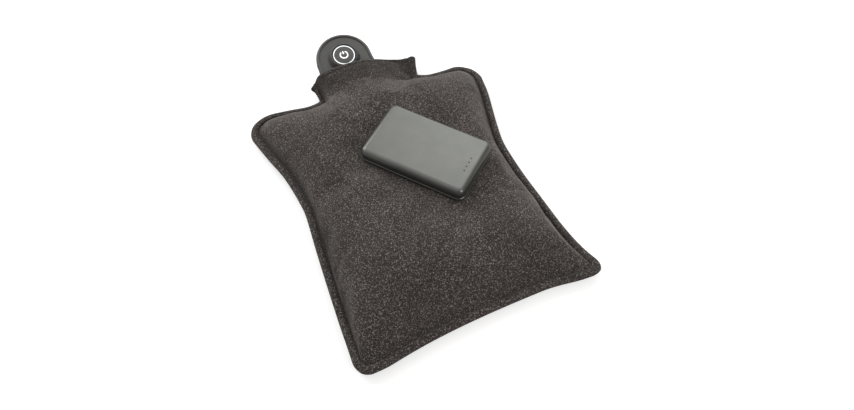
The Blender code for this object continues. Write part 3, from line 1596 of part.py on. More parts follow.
def add_bank_board():
    half_length, half_width = bank_board_reach()
    corner = bank_corner_radius - bank_wall
    inner_b = half_width - bank_spine_width
    led_a = half_length - bank_led_arm
    port_a = bank_port_arm - half_length
    arm_end = half_width - bank_led_arm_reach
    outline = arc((half_length - corner, half_width - corner), corner, 0, 90, 4)
    outline += arc((corner - half_length, half_width - corner), corner, 90, 180, 4)
    outline += arc((corner - half_length, corner - half_width), corner, 180, 270, 4)
    outline += [(port_a, -half_width), (port_a, inner_b), (led_a, inner_b), (led_a, arm_end),
                (half_length, arm_end)]
    mesh = flat_solid("bank_board", [outline], bank_board_bottom, board_top())
    place("bank_board", mesh, board_green, parent=bank_frame)
    low = board_top() + seat_gap
    place_copies("bank_led", led_mesh("bank_led"), led_white, dot_places(), low, bank_frame)
    bar_low = low + led_height + seat_gap
    bar_high = bank_height - bank_wall - seat_gap
    reach = (bank_dot_count - 1) / 2 * bank_dot_spacing + led_length
    guide = boxes("bank_light_guide", [
        ((bank_dot_distance - led_length, bank_dot_shift - reach, bar_low),
         (bank_dot_distance + led_length, bank_dot_shift + reach, bar_high))])
    piece = place("bank_light_guide", guide, light_guide, parent=bank_frame)
    pins = place("light_guide_pins", cylinders("light_guide_pins", dot_places(), light_pipe_radius,
                                               bar_high - led_length / 2, bank_height - seat_gap, 10),
                 None, parent=bank_frame, cutter=True)
    cut(piece, pins, "UNION")
    middle_b = half_width - bank_spine_width / 2
    for name, a, size in (("charge_chip", -2 * chip_width, chip_width), ("boost_coil", 0, chip_width * 1.2)):
        chip = boxes(name, [((a - size / 2, middle_b - size / 2, low),
                             (a + size / 2, middle_b + size / 2, low + chip_height * 2))])
        place(name, chip, chip_black, parent=bank_frame)
    cell_low = bank_wall + seat_gap
    cell = boxes("bank_cell", [
        ((port_a + cell_clearance, cell_clearance - half_width, cell_low),
         (led_a - cell_clearance, inner_b - cell_clearance, cell_low + cell_height))])
    piece = place("bank_cell", cell, cell_foil, parent=bank_frame)
    bevel(piece, cell_edge_radius, 3)


def add_sockets():
    mouth = bank_lip + bank_wall - bank_length / 2
    turn = (0, math.pi / 2, 0)
    for name, width, height, depth, wall, shift, radius, tongue in (
            ("usb_a", usb_a_width, usb_a_height, usb_a_depth, usb_a_wall, usb_a_shift, usb_a_wall * 1.5,
             (usb_a_tongue_width, usb_a_tongue_thickness, usb_a_tongue_length)),
            ("usb_c", usb_c_width, usb_c_height, usb_c_depth, usb_c_wall, usb_c_shift,
             usb_c_height / 2 * 0.95, (usb_c_tongue_width, usb_c_tongue_thickness, usb_c_tongue_length))):
        node = "bank_%s_socket" % name
        centre = (mouth, shift, port_middle(height))
        outline = rounded_rectangle(height / 2, width / 2, radius, 4)
        piece = place(node, flat_solid(node, [outline], 0, depth), plug_metal, parent=bank_frame,
                      location=centre, rotation=turn)
        inner = rounded_rectangle(height / 2 - wall, width / 2 - wall, max(radius - wall, wall / 2), 4)
        hollow = place(node + "_hollow", flat_solid(node + "_hollow", [inner], -cut_overrun, depth - wall),
                       None, parent=bank_frame, location=centre, rotation=turn, cutter=True)
        cut(piece, hollow)
        tongue_width, tongue_thickness, tongue_length = tongue
        back = depth - wall - seat_gap
        blade = boxes("bank_%s_tongue" % name, [
            ((-tongue_thickness / 2, -tongue_width / 2, back - tongue_length),
             (tongue_thickness / 2, tongue_width / 2, back))])
        blade_piece = place("bank_%s_tongue" % name, blade, tongue_plastic, parent=bank_frame,
                            location=centre, rotation=turn)
        bevel(blade_piece, tongue_thickness / 5, 1)


def add_bank_button():
    face = bank_width / 2 - bank_lip
    inner_face = face - bank_wall - 2 * seat_gap
    height = button_middle_height()
    turn = (-math.pi / 2, 0, 0)
    origin = (bank_button_distance, 0, height)
    cap = rounded_rectangle(bank_button_length / 2, bank_button_height / 2,
                            bank_button_height / 2 - seat_gap / 3, 5)
    piece = place("bank_button", flat_solid("bank_button", [cap], inner_face - bank_button_lip_depth / 2,
                                            face + bank_button_proud),
                  bank_plastic, parent=bank_frame, location=origin, rotation=turn)
    lip_half_height = bank_button_height / 2 + bank_button_lip
    lip = rounded_rectangle(bank_button_length / 2 + bank_button_lip, lip_half_height,
                            lip_half_height - seat_gap / 3, 5)
    lip_piece = place("button_lip", flat_solid("button_lip", [lip], inner_face - bank_button_lip_depth,
                                               inner_face), None, parent=bank_frame, location=origin,
                      rotation=turn, cutter=True)
    cut(piece, lip_piece, "UNION")
    low = board_top() + seat_gap
    rear = inner_face - bank_button_lip_depth - bank_button_travel - seat_gap
    span = ((bank_button_distance - bank_switch_length / 2, rear - bank_switch_height / 2, low),
            (bank_button_distance + bank_switch_length / 2, rear, low + bank_switch_height))
    place("bank_button_switch", boxes("bank_button_switch", [span]), chip_black, parent=bank_frame)


paddle_frame = make_frame("paddle_frame", (head_offset, head_y, head_height), (paddle_tilt, 0, 0))
bank_frame = make_frame("bank_frame", (bank_offset_x, bank_y, bank_underside),
                        (0, 0, math.radians(bank_turn_degrees)))

add_cover_front()
add_back_panel("cover_back_upper", 1)
add_back_panel("cover_back_lower", -1)
add_zip_chain("zip_chain_upper", 1)
add_zip_chain("zip_chain_lower", -1)
add_zip_pull(add_zip_slider())
add_pad("pad_front", "front")
add_back_pad()
add_pocket()
add_heater()
add_supply_lead()
add_heater_lead()
add_back_shell()
add_front_shell()
add_button()
add_board()
add_screws()
add_grommets()
add_bank_shells()
add_bank_board()
add_sockets()
add_bank_button()
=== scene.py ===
# Electric hot water bottle on a pale floor: felt cover, controller and power bank.
import math

import bpy
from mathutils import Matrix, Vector, noise
from mathutils.bvhtree import BVHTree


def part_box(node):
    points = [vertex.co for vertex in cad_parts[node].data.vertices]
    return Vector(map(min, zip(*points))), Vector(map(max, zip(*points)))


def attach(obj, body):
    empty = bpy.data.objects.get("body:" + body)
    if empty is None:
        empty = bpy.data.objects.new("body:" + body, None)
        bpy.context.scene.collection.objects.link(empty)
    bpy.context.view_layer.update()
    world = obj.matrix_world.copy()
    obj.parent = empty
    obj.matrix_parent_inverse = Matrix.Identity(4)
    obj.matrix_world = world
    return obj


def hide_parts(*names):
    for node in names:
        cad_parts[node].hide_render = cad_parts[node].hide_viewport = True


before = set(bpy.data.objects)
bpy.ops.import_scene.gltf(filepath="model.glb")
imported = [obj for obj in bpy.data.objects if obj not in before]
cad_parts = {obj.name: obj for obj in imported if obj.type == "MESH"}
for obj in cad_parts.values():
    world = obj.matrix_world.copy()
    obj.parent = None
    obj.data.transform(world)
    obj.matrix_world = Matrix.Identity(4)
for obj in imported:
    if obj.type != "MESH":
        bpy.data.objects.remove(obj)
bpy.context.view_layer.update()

scene = bpy.context.scene
mm = 0.001


# Camera and room

cameraSetup = {
    "place": (-0.14084, -0.38828, 0.59037),
    "target": (0.008065, -0.0429, 0.0),
    "lens": 29.55,
    "sensor": 36.0,
    "nearest": 0.01,
}
roomSetup = {
    "floorSize": 8.0,
    "floorColour": "#D6D5D3",
    "floorGlow": 0.60,
    "skyLevel": 0.42,
    "brightSide": (0.02, 0.50, 0.87),
    "darkLevel": 0.28,
    "brightLevel": 1.35,
    # how far a wall faces away from the bright side where it is darkest and where it is brightest
    "wallSpan": (0.15, -0.85),
    "lamps": [
        # name, place, size, watts
        ("softboxBack", (0.75, 0.75, 1.00), 0.9, 4.2),
        ("softboxKey", (-0.52, 1.00, 0.74), 0.9, 9.0),
        ("softboxFront", (0.45, -0.86, 0.49), 0.45, 3.2),
    ],
}


def linearColour(code):
    # An sRGB hex colour as linear RGBA
    values = [int(code[index:index + 2], 16) / 255 for index in (1, 3, 5)]
    return tuple(value / 12.92 if value <= 0.04045 else ((value + 0.055) / 1.055) ** 2.4
                 for value in values) + (1.0,)


def addNode(tree, kind, settings=None, inputs=None, links=None):
    # One node with its settings, its socket values and what feeds its sockets
    node = tree.nodes.new(kind)
    for key, value in (settings or {}).items():
        setattr(node, key, value)
    for key, value in (inputs or {}).items():
        node.inputs[key].default_value = value
    for key, source in (links or {}).items():
        tree.links.new(source, node.inputs[key])
    return node


def newMaterial(name, values):
    # A new material with the given values on its shader's own sockets
    material = bpy.data.materials.new(name)
    material.use_nodes = True
    tree = material.node_tree
    shader = tree.nodes["Principled BSDF"]
    for key, value in values.items():
        shader.inputs[key].default_value = value
    return material, tree, shader


def newMesh(name, points, faces):
    mesh = bpy.data.meshes.new(name)
    mesh.from_pydata(points, [], faces)
    mesh.update()
    return mesh


def linkObject(name, data):
    item = bpy.data.objects.new(name, data)
    scene.collection.objects.link(item)
    return item


def linkPiece(name, mesh, material):
    mesh.polygons.foreach_set("use_smooth", [True] * len(mesh.polygons))
    mesh.materials.append(material)
    return linkObject(name, mesh)


def placeCamera():
    data = bpy.data.cameras.new("camera")
    data.lens = cameraSetup["lens"]
    data.sensor_width = cameraSetup["sensor"]
    data.clip_start = cameraSetup["nearest"]
    camera = linkObject("camera", data)
    camera.location = cameraSetup["place"]
    direction = Vector(cameraSetup["target"]) - camera.location
    camera.rotation_euler = direction.to_track_quat("-Z", "Y").to_euler()
    scene.camera = camera


def paleFloorMaterial():
    # Painted studio floor: matt, and plain white where the camera sees it unshaded
    material, tree, shader = newMaterial("matt_painted_floor", {
        "Base Color": linearColour(roomSetup["floorColour"]), "Roughness": 0.9,
        "Emission Color": (1, 1, 1, 1)})
    path = addNode(tree, "ShaderNodeLightPath")
    seen = addNode(tree, "ShaderNodeMath", {"operation": "MAXIMUM"},
                   links={0: path.outputs["Is Camera Ray"], 1: path.outputs["Is Transmission Ray"]})
    level = addNode(tree, "ShaderNodeMath", {"operation": "MULTIPLY"}, {1: roomSetup["floorGlow"]},
                    {0: seen.outputs[0]})
    tree.links.new(level.outputs[0], shader.inputs["Emission Strength"])
    return material


def buildRoom():
    half = roomSetup["floorSize"] / 2
    corners = [(-half, -half, 0), (half, -half, 0), (half, half, 0), (-half, half, 0)]
    floor = linkPiece("studioFloor", newMesh("studioFloor", corners, [(0, 1, 2, 3)]), paleFloorMaterial())
    world = bpy.data.worlds.new("studioRoom")
    scene.world = world
    world.use_nodes = True
    tree = world.node_tree
    tree.nodes.clear()
    path = addNode(tree, "ShaderNodeLightPath")
    seen = addNode(tree, "ShaderNodeMath", {"operation": "MAXIMUM"},
                   links={0: path.outputs["Is Camera Ray"], 1: path.outputs["Is Glossy Ray"]})
    seen = addNode(tree, "ShaderNodeMath", {"operation": "MAXIMUM"},
                   links={0: seen.outputs[0], 1: path.outputs["Is Transmission Ray"]})
    level = addNode(tree, "ShaderNodeMapRange", {}, {"To Min": roomSetup["skyLevel"], "To Max": 1.0},
                    {"Value": seen.outputs[0]})
    ray = addNode(tree, "ShaderNodeNewGeometry").outputs["Incoming"]
    facing = addNode(tree, "ShaderNodeVectorMath", {"operation": "DOT_PRODUCT"},
                     {1: roomSetup["brightSide"]}, {0: ray})
    darkest, brightest = roomSetup["wallSpan"]
    wall = addNode(tree, "ShaderNodeMapRange", {},
                   {"From Min": darkest, "From Max": brightest,
                    "To Min": roomSetup["darkLevel"], "To Max": roomSetup["brightLevel"]},
                   {"Value": facing.outputs["Value"]})
    camera = addNode(tree, "ShaderNodeMix", {"data_type": "FLOAT"}, {"B": 1.0},
                     {"Factor": path.outputs["Is Camera Ray"], "A": wall.outputs[0]})
    level = addNode(tree, "ShaderNodeMath", {"operation": "MULTIPLY"},
                    links={0: level.outputs[0], 1: camera.outputs[0]})
    back = addNode(tree, "ShaderNodeBackground", {}, {"Color": (1, 1, 1, 1)},
                   {"Strength": level.outputs[0]})
    addNode(tree, "ShaderNodeOutputWorld", links={"Surface": back.outputs[0]})
    for name, place, size, watts in roomSetup["lamps"]:
        lamp = bpy.data.lights.new(name, "AREA")
        lamp.size = size
        lamp.energy = watts
        holder = linkObject(name, lamp)
        holder.location = place
        holder.rotation_euler = (-Vector(place)).to_track_quat("-Z", "Y").to_euler()
    scene.view_settings.view_transform = "Standard"


placeCamera()
buildRoom()
print("camera and room placed")


# Materials: what each real one is, and what that gives the eye

def grainedSurface(tree, shader, grain, depth, strength=0.4, detail=2.0):
    # Fine bump of a moulded, rolled or woven surface: the grain's size and depth in metres
    where = addNode(tree, "ShaderNodeTexCoord").outputs["Object"]
    pattern = addNode(tree, "ShaderNodeTexNoise", {}, {"Scale": 1 / grain, "Detail": detail},
                      {"Vector": where})
    bump = addNode(tree, "ShaderNodeBump", {}, {"Strength": strength, "Distance": depth},
                   {"Height": pattern.outputs["Fac"]})
    tree.links.new(bump.outputs[0], shader.inputs["Normal"])
    return where, pattern.outputs["Fac"]


def shadedBetween(tree, pattern, stops):
    # Hex colours along a pattern, each at its place
    ramp = addNode(tree, "ShaderNodeValToRGB", links={"Fac": pattern})
    for place, code in stops[1:-1]:
        ramp.color_ramp.elements.new(place)
    for stop, (place, code) in zip(ramp.color_ramp.elements, stops):
        stop.position = place
        stop.color = linearColour(code)
    return ramp.outputs["Color"]


def tonedColour(tree, shader, pattern, low, high, start=0.35, end=0.65):
    # Base colour between two hex colours along a pattern
    colour = shadedBetween(tree, pattern, [(start, low), (end, high)])
    tree.links.new(colour, shader.inputs["Base Color"])


def cloudedColour(tree, shader, where, low, high):
    # Base colour in broad faint clouds, as the resin's flow leaves it
    clouds = addNode(tree, "ShaderNodeTexNoise", {}, {"Scale": 1 / (16.7 * mm), "Detail": 3.0},
                     {"Vector": where})
    tonedColour(tree, shader, clouds.outputs["Fac"], low, high)


def unevenShine(tree, shader, pattern, smoothest, roughest):
    rough = addNode(tree, "ShaderNodeMapRange", {}, {"To Min": smoothest, "To Max": roughest},
                    {"Value": pattern})
    tree.links.new(rough.outputs[0], shader.inputs["Roughness"])


def plainFinish(name, low, high, grain, depth, strength, values, detail=2.0):
    # One even surface: a fine grain that tones the colour and roughens the light
    material, tree, shader = newMaterial(name, values)
    pattern = grainedSurface(tree, shader, grain, depth, strength, detail)[1]
    tonedColour(tree, shader, pattern, low, high)
    return material


feltSetup = {
    # fibre clumps are the smallest that the render shows
    "fibre": 0.7407 * mm, "clump": 1.5625 * mm, "patch": 38.46 * mm, "napDepth": 0.6 * mm,
    "fibreLays": [(0.5, 0.55), (-0.9, 0.60), (1.7, 0.65)],    # turn, stretch
    "fibreTilt": (0.3, 0.2), "clumpShare": 0.45, "heatherSpan": (0.73, 0.96), "napStrength": 0.55,
    "wool": [(0.0, "#2D2928"), (0.5, "#4A4441"), (1.0, "#AAA5A0")],
    "tone": [(0.3, "#DCDAD8"), (0.7, "#FFFAF7")],
    # colour of the painted shade in the seam's groove and along the hem, also used to darken the collar
    "paintedShade": "#8F8B88",
}


def boiledWoolFelt():
    # Heathered boiled-wool felt: pale kemp fibres lie in every direction over dark brown wool, and the
    # raised nap gives a soft dry sheen
    material, tree, shader = newMaterial("heathered_wool_felt", {
        "Roughness": 0.95, "Specular IOR Level": 0.2, "Sheen Weight": 0.6, "Sheen Roughness": 0.5,
        "Sheen Tint": linearColour("#B6B1AD")})
    where = addNode(tree, "ShaderNodeTexCoord").outputs["Object"]
    fibre = None
    for turn, stretch in feltSetup["fibreLays"]:
        turned = addNode(tree, "ShaderNodeMapping", {},
                         {"Rotation": (*feltSetup["fibreTilt"], turn), "Scale": (1, stretch, 1)},
                         {"Vector": where})
        streak = addNode(tree, "ShaderNodeTexNoise", {},
                         {"Scale": 1 / feltSetup["fibre"], "Detail": 2.0, "Roughness": 0.6},
                         {"Vector": turned.outputs[0]}).outputs["Fac"]
        fibre = streak if fibre is None else addNode(
            tree, "ShaderNodeMath", {"operation": "MAXIMUM"}, links={0: fibre, 1: streak}).outputs[0]
    clump = addNode(tree, "ShaderNodeTexNoise", {},
                    {"Scale": 1 / feltSetup["clump"], "Detail": 2.0, "Roughness": 0.6}, {"Vector": where})
    patch = addNode(tree, "ShaderNodeTexNoise", {}, {"Scale": 1 / feltSetup["patch"], "Detail": 2.0},
                    {"Vector": where})
    heather = addNode(tree, "ShaderNodeMath", {"operation": "MULTIPLY_ADD"}, {1: feltSetup["clumpShare"]},
                      {0: clump.outputs["Fac"], 2: fibre})
    darkest, palest = feltSetup["heatherSpan"]
    spread = addNode(tree, "ShaderNodeMapRange", {}, {"From Min": darkest, "From Max": palest},
                     {"Value": heather.outputs[0]})
    mixed = addNode(tree, "ShaderNodeMix", {"data_type": "RGBA", "blend_type": "MULTIPLY"}, {"Factor": 1.0},
                    {"A": shadedBetween(tree, spread.outputs[0], feltSetup["wool"]),
                     "B": shadedBetween(tree, patch.outputs["Fac"], feltSetup["tone"])})
    # Painted shade: the colour darkens in the seam's groove and along the hem, where the stitching pulls the
    # wool in and shade falls, and it darkens over the collar towards the mouth
    seam = addNode(tree, "ShaderNodeAttribute", {"attribute_name": "seamShade"})
    shaded = addNode(tree, "ShaderNodeMix", {"data_type": "RGBA", "blend_type": "MULTIPLY"},
                     {"B": linearColour(feltSetup["paintedShade"])},
                     {"Factor": seam.outputs["Fac"], "A": mixed.outputs["Result"]})
    tree.links.new(shaded.outputs["Result"], shader.inputs["Base Color"])
    nap = addNode(tree, "ShaderNodeBump", {},
                  {"Strength": feltSetup["napStrength"], "Distance": feltSetup["napDepth"]},
                  {"Height": heather.outputs[0]})
    tree.links.new(nap.outputs[0], shader.inputs["Normal"])
    return material


def mouldedAbs(name, low, high, roughness, grain):
    # Spark-eroded moulded ABS: a fine even grain that breaks a highlight into a satin glow
    material, tree, shader = newMaterial(name, {"IOR": 1.53})
    where, pattern = grainedSurface(tree, shader, grain, 0.03 * mm, 0.35)
    cloudedColour(tree, shader, where, low, high)
    unevenShine(tree, shader, pattern, roughness - 0.05, roughness + 0.07)
    return material


def metallicLacquer():
    # Grey effect lacquer over ABS: fine aluminium flakes under a satin film, so that the top mirrors the
    # soft light broadly while the rounded edges go dark, with small glints at the corners
    material, tree, shader = newMaterial("grey_effect_lacquer", {"Metallic": 0.8})
    where, pattern = grainedSurface(tree, shader, 0.3 * mm, 0.02 * mm, 0.2)
    cloudedColour(tree, shader, where, "#60615E", "#646561")
    unevenShine(tree, shader, pattern, 0.25, 0.33)
    return material


def wovenCloth(name, low, high, thread, sheen):
    # Plain weave: over-and-under threads at the thread spacing give a faint grid of light and dark
    material, tree, shader = newMaterial(name, {"Roughness": 0.75, "Sheen Weight": sheen})
    where = addNode(tree, "ShaderNodeTexCoord").outputs["Object"]
    bandStep = 0.314    # metres from band to band at a scale of 1
    waves = [addNode(tree, "ShaderNodeTexWave", {"bands_direction": direction},
                     {"Scale": bandStep / thread, "Distortion": 0.6, "Detail": 1.0},
                     {"Vector": where}).outputs["Fac"] for direction in ("X", "Y")]
    weave = addNode(tree, "ShaderNodeMath", {"operation": "MULTIPLY"}, links={0: waves[0], 1: waves[1]})
    tonedColour(tree, shader, weave.outputs[0], low, high, 0.05, 0.7)
    bump = addNode(tree, "ShaderNodeBump", {}, {"Strength": 0.4, "Distance": thread / 3},
                   {"Height": weave.outputs[0]})
    tree.links.new(bump.outputs[0], shader.inputs["Normal"])
    return material


def platedMetal(name, low, high, roughness, grain):
    # Barrel-plated metal: tumbling leaves a slightly uneven shine with tiny scuffs
    material, tree, shader = newMaterial(name, {"Metallic": 1.0})
    pattern = grainedSurface(tree, shader, grain, 0.01 * mm, 0.25)[1]
    tonedColour(tree, shader, pattern, low, high)
    unevenShine(tree, shader, pattern, roughness - 0.06, roughness + 0.1)
    return material


def litPolycarbonate():
    # Frosted polycarbonate light guide, lit from behind: an even cool white, a little brighter in spots
    material, tree, shader = newMaterial("lit_polycarbonate_guide", {
        "Emission Color": linearColour("#F4FAFF"), "Roughness": 0.35, "IOR": 1.58})
    where = addNode(tree, "ShaderNodeTexCoord").outputs["Object"]
    spots = addNode(tree, "ShaderNodeTexNoise", {}, {"Scale": 1 / (5.56 * mm), "Detail": 1.0},
                    {"Vector": where}).outputs["Fac"]
    tonedColour(tree, shader, spots, "#EDF1F2", "#FFFFFF")
    glow = addNode(tree, "ShaderNodeMapRange", {}, {"To Min": 0.55, "To Max": 0.8}, {"Value": spots})
    tree.links.new(glow.outputs[0], shader.inputs["Emission Strength"])
    return material


def solderMask():
    # Glass-epoxy board under green solder mask: copper areas show through slightly lighter
    material, tree, shader = newMaterial("green_solder_mask_board", {"Roughness": 0.35, "IOR": 1.55})
    where = addNode(tree, "ShaderNodeTexCoord").outputs["Object"]
    copper = addNode(tree, "ShaderNodeTexVoronoi", {"distance": "MANHATTAN"}, {"Scale": 1 / (2.63 * mm)},
                     {"Vector": where}).outputs["Distance"]
    tonedColour(tree, shader, copper, "#2F7A4C", "#1D5234", 0.25, 0.5)
    bump = addNode(tree, "ShaderNodeBump", {}, {"Strength": 0.3, "Distance": 0.04 * mm}, {"Height": copper})
    tree.links.new(bump.outputs[0], shader.inputs["Normal"])
    return material


finishes = {
    "felt_cloth": boiledWoolFelt(),
    # Spun polyester wadding, charcoal dyed: a loose mat of fibres, dull with light tips
    "wadding": plainFinish("spun_polyester_wadding", "#3E3C3A", "#6A6764", 1.2 * mm, 0.9 * mm, 0.7,
                           {"Roughness": 1.0, "Sheen Weight": 0.4, "Sheen Roughness": 0.7}, 5.0),
    "lining_cloth": wovenCloth("woven_nylon_lining", "#2C2D30", "#4A4B50", 0.5 * mm, 0.15),
    "zip_tape_cloth": wovenCloth("woven_polyester_zip_tape", "#242322", "#3C3A39", 0.6 * mm, 0.1),
    "zip_metal": platedMetal("black_nickel_plated_zinc", "#57575A", "#7C7C80", 0.32, 0.6 * mm),
    # Amber polyimide film: clear amber with a wet gloss and faint rolling streaks
    "heater_film": plainFinish("amber_polyimide_film", "#B5651D", "#D08A3A", 6 * mm, 0.02 * mm, 0.3,
                               {"Roughness": 0.22, "IOR": 1.7}),
    "wire_alloy": platedMetal("drawn_copper_nickel_wire", "#B08D62", "#CBA97C", 0.36, 0.4 * mm),
    # Extruded soft PVC lead jacket: smooth and waxy with a slight orange peel
    "lead_rubber": plainFinish("extruded_black_pvc", "#1F1E1E", "#2C2B2A", 0.8 * mm, 0.04 * mm, 0.3,
                               {"Roughness": 0.48, "IOR": 1.52}),
    "plug_metal": platedMetal("nickel_plated_steel_shell", "#BDBBB4", "#D6D4CE", 0.25, 0.7 * mm),
    "controller_plastic": mouldedAbs("spark_eroded_grey_abs", "#3E3D3A", "#464541", 0.5, 0.35 * mm),
    "light_guide": litPolycarbonate(),
    "circuit_board": solderMask(),
    # Transfer-moulded epoxy of chip packages: near-black and evenly matt
    "chip_black": plainFinish("moulded_black_epoxy", "#1E1E20", "#2A2A2C", 0.3 * mm, 0.03 * mm, 0.4,
                              {"Roughness": 0.6, "IOR": 1.55}),
    # Yellow phosphor in a white package
    "led_white": plainFinish("phosphor_led_package", "#E4DDA8", "#F4F1DD", 0.4 * mm, 0.02 * mm, 0.3,
                             {"Roughness": 0.4, "IOR": 1.5}),
    "screw_steel": platedMetal("zinc_plated_screw_steel", "#A7A9AB", "#C4C6C8", 0.33, 0.5 * mm),
    "bank_plastic": metallicLacquer(),
    "cell_foil": platedMetal("aluminium_laminate_foil", "#C2C4C6", "#DADBDC", 0.3, 4 * mm),
    "tongue_plastic": mouldedAbs("moulded_black_nylon", "#1C1C1D", "#262627", 0.45, 0.3 * mm),
}
# Spun polyester sewing thread, dark brown: its two plies twist and break the light into short glints
threadFinish = plainFinish("spun_polyester_thread", "#1E1B1A", "#3A3533", 0.4 * mm, 0.1 * mm, 0.6,
                           {"Roughness": 0.75, "Sheen Weight": 0.2})
# Pieces whose finish differs from that of their slot
ownFinishes = {
    # Smoked polycarbonate light pipe, unlit: nearly black under its gloss
    "bank_light_guide": plainFinish("smoked_polycarbonate_pipe", "#161718", "#202122", 0.6 * mm, 0.01 * mm,
                                    0.2, {"Roughness": 0.3, "IOR": 1.58}),
}


def dressCadNodes():
    for name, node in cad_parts.items():
        for slot in node.material_slots:
            base = slot.material.name.split(".")[0] if slot.material else ""
            if base in finishes:
                slot.material = ownFinishes.get(name, finishes[base])


# The cover's cut shape and the heights of its cloth, the same as in the solid model

coverShape = {
    "bodyLength": 0.299, "neckLength": 0.0235, "paddleReach": 0.0461, "footSkew": 0.0028,
    "shoulderHalf": 0.128, "waistHalf": 0.1095, "footHalf": 0.123,
    "neckHalf": 0.056, "mouthHalf": 0.061, "waistDistance": 0.172,
    "footRadius": 0.013, "shoulderRadius": 0.026,
    "footRise": 0.006, "shoulderDip": 0.0018, "mouthDip": 0.002, "sidePower": 1.3,
    "cloth": 0.0022, "seam": 0.009, "seamHeight": 0.009, "mouthLift": 0.004,
    "crown": 0.040, "mouthArch": 0.0325, "sideRound": 0.100, "endRound": 0.105,
    "footRound": 0.085, "footEase": 1.6, "backRound": 0.026,
    "neckFade": 0.095, "neckSpread": 0.55, "bankSinking": 0.0037,
    "pressReach": 0.012, "pressFade": 0.035, "plateauBlend": 0.0016,
    "zipDistance": 0.081926, "zipHalf": 0.068, "slotOverrun": 0.0015, "slotTaper": 0.009,
    "slotHalf": 0.0053, "grooveDepth": 0.004, "grooveFlat": 0.011, "grooveReach": 0.020,
    "archPeak": 0.38, "archSteep": 0.80, "archGentle": 1.3, "archEven": 0.6, "archFade": 1.5,
    # half the room between the two cloths at the stitching, and the bank's room above the cloth
    "layerGap": 0.00015, "bankGap": 0.0003,
}
bankPlace = {"x": 0.021, "fromWaist": 0.0005, "turn": math.radians(-50.7), "length": 0.1125,
             "width": 0.0705, "height": 0.015}
shape = coverShape
footY = (shape["footSkew"] - shape["bodyLength"] - shape["neckLength"] - shape["paddleReach"]) / 2
waistY = footY + shape["waistDistance"]
shoulderY = footY + shape["bodyLength"]
mouthY = shoulderY + shape["neckLength"]
zipY = footY + shape["zipDistance"]
bankY = waistY + bankPlace["fromWaist"]
bankUnderside = shape["crown"] - shape["bankSinking"]

# How the real one lies: its neck leans and its shoulders and foot sit slightly askew. Pairs are places
# where a change starts and where it is whole.
leanSetup = {
    # distance along y, shift of the sides in x, turn of the ends in y, shift of the middle in x, widening
    "rows": [(-0.185, 0.0075, 0.022, 0.0, 0.0022), (-0.160, 0.0034, 0.024, 0.0, -0.0011),
             (-0.130, 0.0010, 0.017, 0.0, -0.0019), (-0.085, 0.0001, 0.010, 0.0, -0.0013),
             (-0.050, -0.0002, 0.004, 0.0, -0.0012), (-0.011, 0.0010, 0.0, 0.0, -0.0009),
             (0.035, 0.0024, -0.018, 0.001, 0.0001), (0.062, 0.0013, -0.030, 0.002, 0.0017),
             (0.092, -0.0009, -0.060, 0.006, 0.0012), (0.105, -0.0006, -0.072, 0.0085, 0.0012),
             (0.120, 0.0010, -0.065, 0.0108, 0.0012), (0.145, 0.0075, -0.045, 0.0102, 0.0030)],
    "sideReach": 0.115, "sideMost": 1.3,
    # the ends' edges lie askew between the corners: slope, its start and whole, middle, reach and fade
    "ends": [(-0.038, 0.060, 0.105, 0.0, 0.125, 0.045), (0.045, -0.120, -0.180, -0.012, 0.115, 0.040)],
    "neckUp": {"most": 0.0016, "along": (0.095, 0.115), "across": (0.065, 0.045)},
    # the corner between neck and shoulder sinks a little
    "notch": {"drop": 0.0012, "spot": 0.068, "width": 0.016, "rise": (0.090, 0.110), "fall": (0.128, 0.118)},
    # room for the controller's left edge: the neck's stitching stands farther out there
    "neckRoom": {"most": 0.0046, "outer": (0.0575, 0.0495), "inner": (0.018, 0.036),
                 "along": (0.088, 0.112), "mouth": (0.118, 0.138), "mouthLoss": 0.2},
}


def arcRise(radius, away):
    # How far an arc stands out at a distance from its centre line
    return math.sqrt(max(radius ** 2 - away ** 2, 0))


def bottleHalfWidth(y, inset):
    footCentre = footY + shape["footRadius"]
    shoulderCentre = shoulderY - shape["shoulderRadius"]
    if y < footCentre:
        return shape["footHalf"] - shape["footRadius"] + arcRise(shape["footRadius"] - inset, footCentre - y)
    if y > shoulderCentre:
        return (shape["shoulderHalf"] - shape["shoulderRadius"]
                + arcRise(shape["shoulderRadius"] - inset, y - shoulderCentre))
    if y < waistY:
        share, widest = (waistY - y) / (waistY - footCentre), shape["footHalf"]
    else:
        share, widest = (y - waistY) / (shoulderCentre - waistY), shape["shoulderHalf"]
    return shape["waistHalf"] + (widest - shape["waistHalf"]) * share ** shape["sidePower"] - inset


def footLine(x, inset):
    straight = shape["footHalf"] - shape["footRadius"]
    if abs(x) <= straight:
        return footY + inset + shape["footRise"] * (1 - (x / straight) ** 2)
    return footY + shape["footRadius"] - arcRise(shape["footRadius"] - inset, abs(x) - straight)


def shoulderLine(x, inset):
    straight = shape["shoulderHalf"] - shape["shoulderRadius"]
    neck = shape["neckHalf"] - inset
    if abs(x) <= neck:
        return shoulderY - inset
    if abs(x) <= straight:
        share = (abs(x) - neck) / (straight - neck)
        return shoulderY - inset - shape["shoulderDip"] * math.sin(math.pi * share)
    return shoulderY - shape["shoulderRadius"] + arcRise(shape["shoulderRadius"] - inset, abs(x) - straight)


def limited(value):
    return min(max(value, 0), 1)


def neckShare(y):
    # How far along the neck, from 0 at the shoulders to 1 at the mouth
    return limited((y - shoulderY) / shape["neckLength"])


def neckHalfWidth(y, inset):
    widening = (shape["mouthHalf"] - shape["neckHalf"]) * neckShare(y) ** shape["sidePower"]
    return shape["neckHalf"] + widening - inset


def seamLevel(y):
    return shape["seamHeight"] + shape["mouthLift"] * neckShare(y)


def swell(distance, reach, power):
    return (1 - (1 - limited(distance / reach)) ** power) ** 0.5


def smoothStep(value):
    value = limited(value)
    return value * value * (3 - 2 * value)


def eased(value, start, whole):
    # Smoothly from 0 at start to 1 at whole, whichever is larger
    return smoothStep((value - start) / (whole - start))


